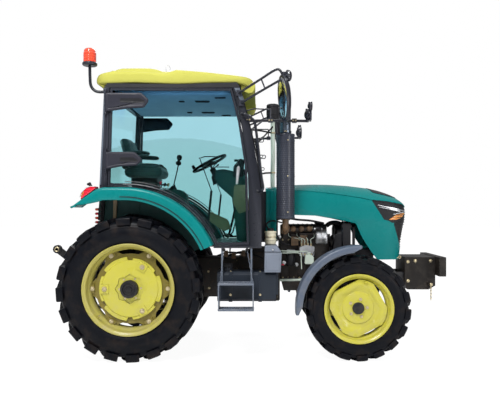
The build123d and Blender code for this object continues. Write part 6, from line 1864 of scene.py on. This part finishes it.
    axle = softened("rear_axle", 6, "iron", "zinc", "black_paint", "silver", "red_lens", "orange_lens", body="chassis")
    for side in (-1, 1):
        for y, r in ((196, 132), (600, 116)):
            axle.use = 0
            axle.lathe((0, side * (y - 12), 685), (0, side, 0), ((0, 96), (2, r), (22, r), (24, 96)), 40)
            axle.use = 1
            for k in range(10):
                turn = tau * k / 10
                axle.hexagon(((r - 14) * cos(turn), side * (y + 10), 685 + (r - 14) * sin(turn)), (0, side, 0), 8, 7)
    axle.use = 2
    for k, slot in enumerate((4, 5, 4, 5)):
        x, y, z = -252, 60 + 34 * k, 1120
        hose(axle, [(-140, y, 1058), (-190, y, 1110), (x, y, z)], 9, 4, 8)
    for k in range(4):
        z = 1310 + 42 * k
        axle.use = 2
        axle.box((-350, -318), (-592, -556), (z - 14, z + 14))
        axle.use = 4 + k % 2
        axle.rod((-346, -574, z), (-378, -574, z), 13, 14)
        axle.use = 1
        axle.rod((-372, -574, z), (-384, -574, z), 9, 12)
    axle.use = 2
    hose(axle, [(-330, -574, 1440), (-300, -560, 1500), (-292, -540, 1560)], 9, 4, 8)
    hose(axle, [(-330, -574, 1300), (-320, -560, 1200), (-240, -400, 1120), (-160, -150, 1080)], 9, 4, 8)
    axle.done("iron", sharp=35, replaces=("rear_axle",))


def math_acos(value):
    return pi / 2 - asin(max(-1.0, min(1.0, value)))


# ---- Tank, steps and front axle -----------------------------------------------------------------------
def make_sides():
    tank = softened("fuel_tank", 9, "tank_slate", "black_plastic", "zinc", body="chassis", segments=3)
    tank.use = 1
    tank.lathe((914, -590, 832), (0, 0, 1), ((0, 54), (6, 54), (8, 44), (40, 44), (42, 50), (70, 50), (76, 44), (78, 1)), 32)
    for k in range(12):
        turn = tau * k / 12
        tank.rod((914 + 50 * cos(turn), -590 + 50 * sin(turn), 876), (914 + 50 * cos(turn), -590 + 50 * sin(turn), 902), 4, 6)
    tank.use = 2
    for x in (947, 1230):
        tank.hexagon((x, -705, 620), (0, -1, 0), 8, 8)
        tank.rod((x, -700, 840), (x, -660, 846), 6, 8)
    tank.done("black_plastic", sharp=35, replaces=("fuel_tank",))

    battery = softened("battery_box", 7, "grey_plastic", "black_plastic", "silver", body="chassis", segments=3)
    battery.use = 1
    battery.pipe([(1272, -741, 1032), (1432, -741, 1030), (1440, -736, 1028), (1440, -446, 1028)], 3, 6)
    battery.use = 0
    plaque(battery, rounded([(1290, 856), (1412, 856), (1420, 1010), (1290, 1010)], 10, 3), [(0, -738), (0, -742), (5, -745)])
    battery.use = 2
    battery.rod((1350, -742, 1052), (1350, -748, 1052), 9, 14)
    battery.done("grey_plastic", sharp=35, replaces=("battery_box",))

    bottle = Piece("expansion_bottle", "chassis", "cream_plastic", "black_plastic", "zinc")
    x, y = 1333, -500
    bottle.lathe((x, y, 1090), (0, 0, 1), ((0, 40), (4, 52), (14, 55), (60, 55), (64, 53), (70, 55), (104, 55), (122, 50),
                                          (130, 34), (134, 34)), 44)
    bottle.lathe((x, y, 1130), (0, 0, 1), ((0, 56), (2, 59), (12, 59), (14, 56)), 44, caps=False)
    bottle.lathe((x, y, 1200), (0, 0, 1), ((0, 55), (3, 59), (16, 59), (20, 54)), 44)
    bottle.use = 1
    bottle.lathe((x, y, 1222), (0, 0, 1), ((0, 30), (4, 34), (24, 34), (28, 28), (30, 1)), 24)
    hose(bottle, [(x - 20, y + 20, 1240), (x - 40, y + 60, 1290), (x + 20, y + 140, 1320), (x + 120, y + 240, 1300)], 8)
    bottle.use = 2
    bottle.box((1282, 1386), (-448, -442), (1100, 1216))
    bottle.lathe((x, y, 1160), (0, 0, 1), ((0, 56), (0, 58), (9, 58), (9, 56)), 44, caps=False)
    bottle.done("cream_plastic", sharp=35, replaces=("expansion_tank",))

    steps = Piece("step_frames", "chassis", "step_slate", "grey_plastic", "black_plastic")
    for side in (-1, 1):
        for z in (505, 744):
            steps.use = 0
            across = (740, 900)
            plaque(steps, rounded([(838, side * 742), (1173, side * 742), (1173, side * 898), (838, side * 898)], 12, 3),
                   [(0, z - 9), (0, z + 4), (3, z + 9), (16, z + 9), (19, z + 5), (24, z + 5)], "z")
            for k in range(12):
                xx = 862 + 26 * k
                for j in range(3):
                    yy = side * (774 + 42 * j)
                    steps.lathe((xx, yy, z + 4), (0, 0, 1), ((0, 8), (5, 7), (6, 4), (4, 3)), 8)
        for xx in (846, 1165):
            steps.prism(rounded([(side * 742, 496), (side * 898, 496), (side * 898, 752), (side * 742, 752)], 20, 3),
                        xx - 5, xx + 5, "x")
        for xx in (867, 1147):
            steps.box((xx - 8, xx + 8), sorted((side * 706, side * 744)), (736, 752))
            steps.prism(rounded([(xx - 8, 736), (xx + 8, 736), (xx + 8, 1066), (xx - 8, 1066)], 3, 2),
                        *sorted((side * 707, side * 719)))
        steps.use = 1
        for start, end in (((850, 742, 752), (884, 726, 1052)), ((1161, 742, 752), (1106, 726, 1052))):
            links = []
            for k in range(25):
                t = k / 24
                wave = 3 * sin(k * pi / 2)
                links.append((start[0] + (end[0] - start[0]) * t + wave, side * (start[1] + (end[1] - start[1]) * t),
                              start[2] + (end[2] - start[2]) * t))
            steps.pipe(links, 3, 6)
        steps.use = 2
        for xx in (884, 1106):
            steps.rod((xx, side * 716, 1052), (xx, side * 738, 1052), 16, 16)
    steps.soften(1, 1, 60)
    steps.done("slate_paint", sharp=35, replaces=("steps",))


def make_front():
    centre = (2160, 500)
    fender = Piece("front_fender_shell_right", "knuckle_right", "step_slate", "black_plastic")
    rows = []
    for k in range(37):
        turn = radians(88 + 97 * k / 36)
        end = min(1.0, k / 3, (36 - k) / 3)
        row = []
        for y, drop in ((-644, -46), (-642, -20), (-642, -6), (-648, 2), (-662, 5), (-700, 7), (-750, 8), (-800, 7), (-838, 5),
                        (-852, 1), (-858, -8), (-859, -24), (-856, -52), (-850, -58)):
            y = -750 + (y + 750) * (0.93 + 0.07 * sqrt(end))
            r = 591 + drop * (0.35 + 0.65 * end if drop < 0 else 1)
            row.append(at(centre[0] + r * cos(turn), y, centre[1] + r * sin(turn)))
        rows.append(row)
    fender.loft(rows, closed=False)
    piece = fender.done("slate_paint", sharp=40, thick=4, outward=(-0.7, 0, 0.7))
    pair(piece, "front_fender_shell", "knuckle", ("front_fender",))
    bar = softened("knuckle_right", 4, "iron", "zinc", "black_paint", "silver", body="knuckle_right")
    bar.use = 2
    line = [(2160 + r * cos(radians(a)), -700, 500 + r * sin(radians(a))) for a, r in
            ((95, 598), (102, 584), (110, 583), (130, 583), (150, 583), (168, 583))]
    bar.pipe(line, 9, 8)
    for a in (108, 126, 150):
        turn = radians(a)
        bar.rod((2160 + 583 * cos(turn), -770, 500 + 583 * sin(turn)), (2160 + 583 * cos(turn), -655, 500 + 583 * sin(turn)), 8, 10)
    bar.pipe(rail([(2100, -576, 640), (2080, -590, 800), (2060, -620, 960), (2010, -690, 1040)]), 14, 10)
    bar.use = 1
    for z in (404, 606):
        for dx in (-34, 34):
            bar.hexagon((2160 + dx, -548, z), (0, 0, 1), 9, 9)
    for a in (108, 126, 150):
        bar.hexagon((2160 + 574 * cos(radians(a)), -735, 500 + 574 * sin(radians(a))), (-cos(radians(a)), 0, -sin(radians(a))), 8, 6)
    bar.use = 0
    bar.lathe((2160, -604, 500), (0, -1, 0), ((0, 80), (6, 92), (20, 92), (26, 78), (60, 74), (76, 68)), 36)
    piece = bar.done("iron", sharp=35)
    pair(piece, "knuckle_shell", "knuckle", ("knuckle",))

    axle = softened("front_axle", 5, "iron", "black_plastic", "silver", "zinc", body="chassis")
    axle.use = 0
    axle.lathe((2010, 60, 500), (1, 0, 0), ((0, 60), (6, 92), (20, 112), (60, 128), (150, 130), (230, 118), (262, 80),
                                           (268, 40)), 40)
    for side in (-1, 1):
        rings = []
        for y, r in ((120, 84), (170, 66), (260, 58), (380, 58), (430, 66), (462, 72)):
            rings.append([at(2160 + r * cos(tau * k / 28), side * y, 500 + r * 0.9 * sin(tau * k / 28)) for k in range(28)])
        axle.loft(rings)
        for z in (426, 574):
            axle.lathe((2160, side * 520, z - 8 if z < 500 else z - 12), (0, 0, 1), ((0, 30), (3, 50), (17, 50), (20, 30)), 28)
    axle.use = 2
    axle.rod((2055, -335, 500), (2055, -45, 500), 34, 24, 6)
    axle.rod((2055, -412, 500), (2055, -330, 500), 13, 16)
    axle.use = 3
    axle.rod((2055, -430, 500), (2055, -404, 500), 20, 16)
    axle.use = 1
    hose(axle, [(2055, -80, 534), (2050, -90, 600), (2010, -140, 660), (1960, -170, 700)], 8)
    hose(axle, [(2055, -300, 534), (2045, -290, 590), (2000, -230, 650), (1950, -180, 690)], 8)
    axle.done("iron", sharp=35, replaces=("front_axle",))

    rails = softened("front_frame", 4, "black_paint", "zinc", "pale_pipe", "black_plastic", body="chassis")
    rails.use = 1
    for side in (-1, 1):
        for x in (1990, 2016, 2070, 2250, 2300, 2660, 2700):
            rails.hexagon((x, side * 175, 740 if x % 4 else 690), (0, side, 0), 11, 10)
    rails.use = 2
    hose(rails, [(1960, -196, 716), (2100, -200, 720), (2400, -200, 722), (2640, -196, 716)], 9)
    rails.use = 3
    plaque(rails, rounded([(1970, 890), (2078, 902), (2078, 1190), (2010, 1180)], 20, 3), [(0, -236), (0, -242), (4, -245)])
    for side in (-1, 1):
        rails.prism(rounded([(2188, 782), (2420, 782), (2300, 860), (2200, 880)], 12, 3), *sorted((side * 140, side * 170)))
        rails.box((2190, 2216), sorted((side * 206, side * 232)), (780, 1280))
    rails.box((2190, 2216), (-232, 232), (1256, 1284))
    rails.box((2230, 2400), (-150, 150), (784, 802))
    rails.prism(rounded([(2236, 806), (2420, 806), (2430, 1010), (2236, 1010)], 14, 3), -130, 130)
    rails.done("black_paint", sharp=35, replaces=("front_frame",))

    bracket = softened("front_bracket", 6, "bracket_brown", "step_slate", "zinc", body="chassis", segments=3)
    bracket.use = 1
    plaque(bracket, rounded([(-344, 758), (344, 758), (344, 942), (-344, 942)], 24, 4),
           [(0, 3060), (0, 3118), (6, 3124.5), (30, 3124.5), (34, 3119), (44, 3119)], "x")
    for y in (-300, -210, 210, 300):
        bracket.lathe((3118, y, 850), (1, 0, 0), ((0, 24), (5, 24), (6.5, 18), (4, 12), (4, 1)), 24)
    bracket.use = 2
    for side in (-1, 1):
        for x, z in ((2774, 690), (2774, 890), (2850, 900), (3010, 900), (3010, 660)):
            bracket.hexagon((x, side * 200, z), (0, side, 0), 12, 11)
    bracket.rod((3000, -262, 660), (3000, 262, 660), 16, 20)
    for k in range(9):
        z = 640 - 17 * k
        links = [(3000 + (9 if k % 2 else 4) * cos(a), -246 + (4 if k % 2 else 9) * cos(a), z + 13 * sin(a)) for a in
                 (tau * j / 10 for j in range(11))]
        bracket.pipe(links, 2.6, 6, caps=False)
    bracket.done("black_paint", sharp=35, replaces=("front_bracket",))


def make_hitch():
    for node, body, finish in (("lower_links", "lower_links", "black_paint"), ("lift_rods", "lift_rods", "black_paint"),
                               ("rockshaft", "rockshaft", "iron"), ("top_link", "top_link", "black_paint"),
                               ("drawbar", "chassis", "black_paint")):
        made = softened(node, 3, finish, "zinc", "silver", "black_plastic", body=body)
        made.use = 1
        if node == "lower_links":
            for side in (-1, 1):
                tip = (-131 - 850 * cos(radians(38)), 514 + 850 * sin(radians(38)))
                for s in (-1, 1):
                    made.lathe((tip[0], side * 430 + s * 22, tip[1]), (0, s, 0), ((0, 27), (5, 25), (8, 21), (8, 15), (0, 15)), 28)
                for t in (0.42, 0.5, 0.62):
                    x, z = -131 - 850 * t * cos(radians(38)), 514 + 850 * t * sin(radians(38))
                    made.hexagon((x, side * 430 - 11, z), (0, -1, 0), 11, 9)
        if node == "drawbar":
            made.lathe((-520, 0, 400), (0, 0, 1), ((0, 17), (0, 32), (6, 32), (8, 28), (8, 17)), 24, caps=False)
            for x in (-180, -150, 220, 245):
                made.hexagon((x, -60, 450), (0, -1, 0), 10, 9)
        if node == "top_link":
            c, s = cos(radians(80)), sin(radians(80))
            made.pipe([(-385 - c * a, 22 * b, 905 + s * a) for a, b in ((190, 0), (190, 0.8), (260, 0.8), (260, 0))], 5, 8)
            for a in (120, 330):
                made.lathe((-385 - c * a, 0, 905 + s * a), (-c, 0, s), ((0, 18), (3, 23), (20, 23), (23, 18)), 6)
        if node == "lift_rods":
            for side in (-1, 1):
                x, z = -391, 718
                made.lathe((x, side * 462, 830), (0, 0, 1), ((0, 18), (4, 24), (60, 24), (64, 18)), 24)
        made.done("black_paint" if finish == "black_paint" else "iron", sharp=35, replaces=(node,))


set_camera()
set_studio()
set_floor()
dress_nodes()
make_tyre("rear", 20, 34, 68, 78, 128)
make_tyre("front", 18, 27, 54, 62, 92)
make_rear_wheel()
make_front_wheel()
make_hood()
make_cowl()
make_roof()
make_cab()
make_headliner()
make_seat()
make_steering()
make_dash()
make_fenders()
make_exhaust()
make_intake()
make_rails()
make_engine()
make_sides()
make_front()
make_hitch()
